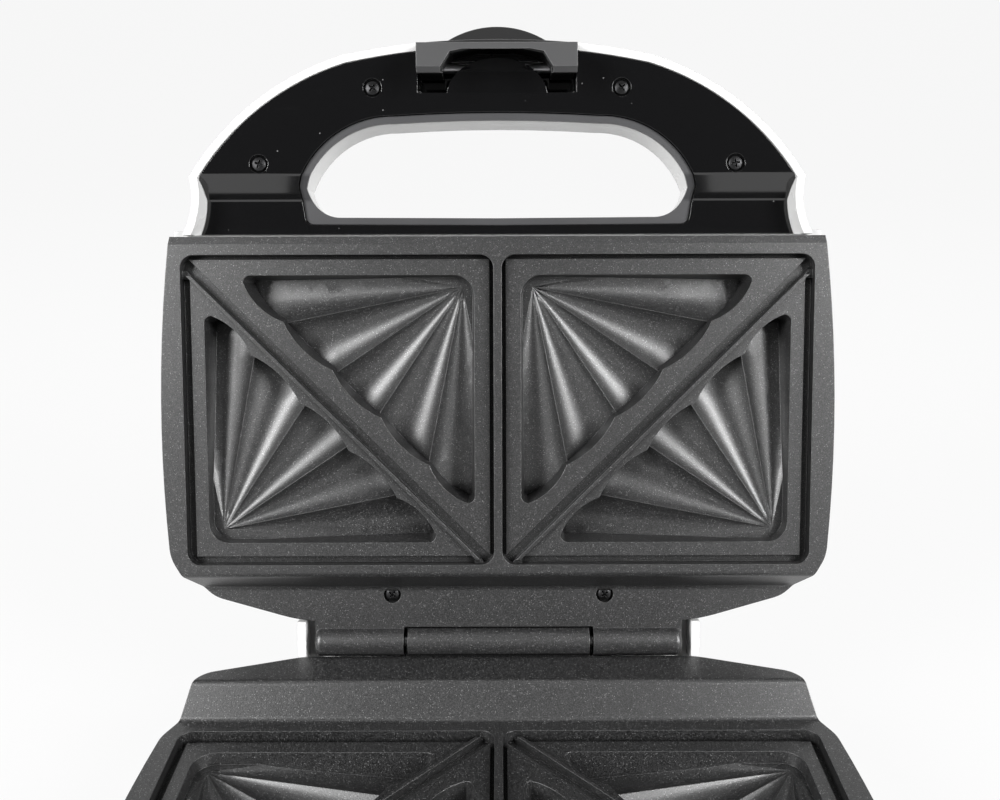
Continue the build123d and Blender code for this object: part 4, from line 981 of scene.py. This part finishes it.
@dataclass
class Heating:
    """Elements, reflectors and the controls behind the plates."""

    elements: tuple[str, ...] = ("lower_heater", "upper_heater")
    reflectors: tuple[str, ...] = ("lower_reflector", "upper_reflector")
    cans: tuple[str, ...] = ("thermostat", "thermal_fuse")
    block: str = "terminal_block"

    def build(self) -> None:
        """Dress the hidden works."""
        dress(Finish.SHEATH, *self.elements)
        dress(Finish.SHEET, *self.reflectors)
        dress(Finish.CAN, *self.cans)
        dress(Finish.THERMOPLASTIC, self.block)


@dataclass
class Lamps:
    """Two lenses in the lid's crown."""

    power: str = "power_lens"
    ready: str = "ready_lens"

    def build(self) -> None:
        """Dress the lenses."""
        dress(Finish.RED_LENS, self.power)
        dress(Finish.GREEN_LENS, self.ready)


@dataclass
class Underside:
    """Feet and the cord's gland."""

    rubbers: tuple[str, ...] = ("feet", "cord_gland")

    def build(self) -> None:
        """Dress feet and gland."""
        dress(Finish.RUBBER, *self.rubbers)


# ------------------------------------------------------------------ studio
@dataclass(frozen=True)
class SoftLamp:
    """One soft rectangular light."""

    name: str
    place: Point
    size: Span
    power: float
    aim: Point = (0.0, 0.03, 0.13)

    def build(self) -> None:
        """Hang the light and aim it."""
        data = bpy.data.lights.new(self.name, "AREA")
        data.shape = "RECTANGLE"
        data.size, data.size_y = self.size
        data.energy = self.power
        lamp = linked(self.name, data)
        lamp.location = self.place
        towards = Vector(self.aim) - Vector(self.place)
        lamp.rotation_euler = towards.to_track_quat("-Z", "Y").to_euler()


@dataclass
class Studio:
    """Pale sweep, soft lights and the camera at the photograph's place."""

    sweep_width: float = 9.0
    front: float = -3.0
    back: float = 3.2
    bend: float = 1.6
    bend_steps: int = 12
    height: float = 4.5
    paper_tones: tuple[Color, Color] = ((0.36, 0.36, 0.36), (0.38, 0.38, 0.38))
    paper_roughness: float = 0.5
    paper_mottle_per_mm: float = 0.002
    paper_white: float = 1.06
    paper_glow: float = 0.86
    dim_world: float = 0.05
    seen_world: float = 0.93
    boxes: tuple[SoftLamp, ...] = (
        SoftLamp("overhead", (0.0, -0.10, 1.5), (0.9, 0.4), 2.0),
        SoftLamp("left_box", (-0.88, -0.66, 0.66), (0.5, 0.7), 22.0),
        SoftLamp("right_box", (0.88, -0.66, 0.66), (0.5, 0.7), 22.0))
    sensor_mm: float = 36.0
    focal_px: float = 985.0
    frame_px: float = 1000.0
    clip: Span = (0.01, 50.0)
    eye: Point = (0.00074, -0.23304, 0.26325)
    pitch: float = 19.9
    roll: float = -0.16

    def _sweep_line(self) -> list[Span]:
        """The sweep's (y, z) line: level floor, quarter bend and upright backdrop."""
        line = [(self.front, 0.0), (self.back - self.bend, 0.0)]
        for k in range(1, self.bend_steps + 1):
            turn = math.pi / 2 * k / self.bend_steps
            line.append((self.back - self.bend + self.bend * math.sin(turn),
                         self.bend * (1 - math.cos(turn))))
        line.append((self.back, self.height))
        return line

    def floor(self) -> None:
        """A floor that bends up into a backdrop, as one sheet."""
        shape = bmesh.new()
        points = [shape.verts.new((-self.sweep_width / 2, y, z)) for y, z in self._sweep_line()]
        edges = [shape.edges.new(pair) for pair in zip(points, points[1:])]
        grown = bmesh.ops.extrude_edge_only(shape, edges=edges)
        far_side = [g for g in grown["geom"] if isinstance(g, bmesh.types.BMVert)]
        bmesh.ops.translate(shape, verts=far_side, vec=(self.sweep_width, 0, 0))
        bmesh.ops.recalc_face_normals(shape, faces=shape.faces)
        if sum(face.normal.z for face in shape.faces) < 0:
            bmesh.ops.reverse_faces(shape, faces=shape.faces)
        for face in shape.faces:
            face.smooth = True
        mesh = mesh_of("sweep", shape)
        sweep = linked("sweep", mesh)
        mesh.materials.append(self.paper())

    def paper(self) -> bpy.types.Material:
        """Pale paper: shows at its own white to the camera and keeps a light shadow."""
        net = Network("pale_paper")
        seen = net.seen_by("Camera", "Glossy", "Transmission")
        tone = net.mixed(net.noise(self.paper_mottle_per_mm), *self.paper_tones)
        diffuse = net.shader("BsdfDiffuse", Color=tone, Roughness=self.paper_roughness)
        glow = net.shader("Emission", Color=WHITE, Strength=self.paper_white)
        return net.close(net.blended((seen > 0.5) * self.paper_glow, diffuse, glow))

    def world(self) -> None:
        """Dim even surroundings, which show white to the camera past the paper's edges."""
        world = bpy.data.worlds.new("surroundings")
        bpy.context.scene.world = world
        net = Network("surroundings", world)
        seen = net.seen_by("Camera", "Transmission")
        dim = net.shader("Background", Color=WHITE, Strength=self.dim_world)
        bright = net.shader("Background", Color=WHITE, Strength=self.seen_world)
        net.close(net.blended(seen.ramp(0.0, 1.0), dim, bright), "World")

    def camera(self) -> None:
        """The camera where the photograph was taken from."""
        data = bpy.data.cameras.new("photo_camera")
        data.sensor_width = self.sensor_mm
        data.lens = self.focal_px * self.sensor_mm / self.frame_px
        data.clip_start, data.clip_end = self.clip
        camera = linked("photo_camera", data)
        camera.location = self.eye
        tilt = Matrix.Rotation(math.radians(90.0 - self.pitch), 4, "X")
        camera.rotation_euler = (tilt @ Matrix.Rotation(math.radians(self.roll), 4, "Z")).to_euler()
        bpy.context.scene.camera = camera

    def build(self) -> None:
        """Set the stage."""
        self.camera()
        self.floor()
        self.world()
        for lamp in self.boxes:
            lamp.build()
        bpy.context.scene.view_settings.view_transform = "Standard"


def main() -> None:
    """Dress and build every sub-assembly, then set the stage."""
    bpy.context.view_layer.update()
    for assembly in (CookingPlates(), Housings(), HookLatch(), Heating(), Lamps(), Underside(),
                     Fasteners(), Studio()):
        assembly.build()
        log.info("%s done", type(assembly).__name__)


if __name__ == "__main__":
    main()
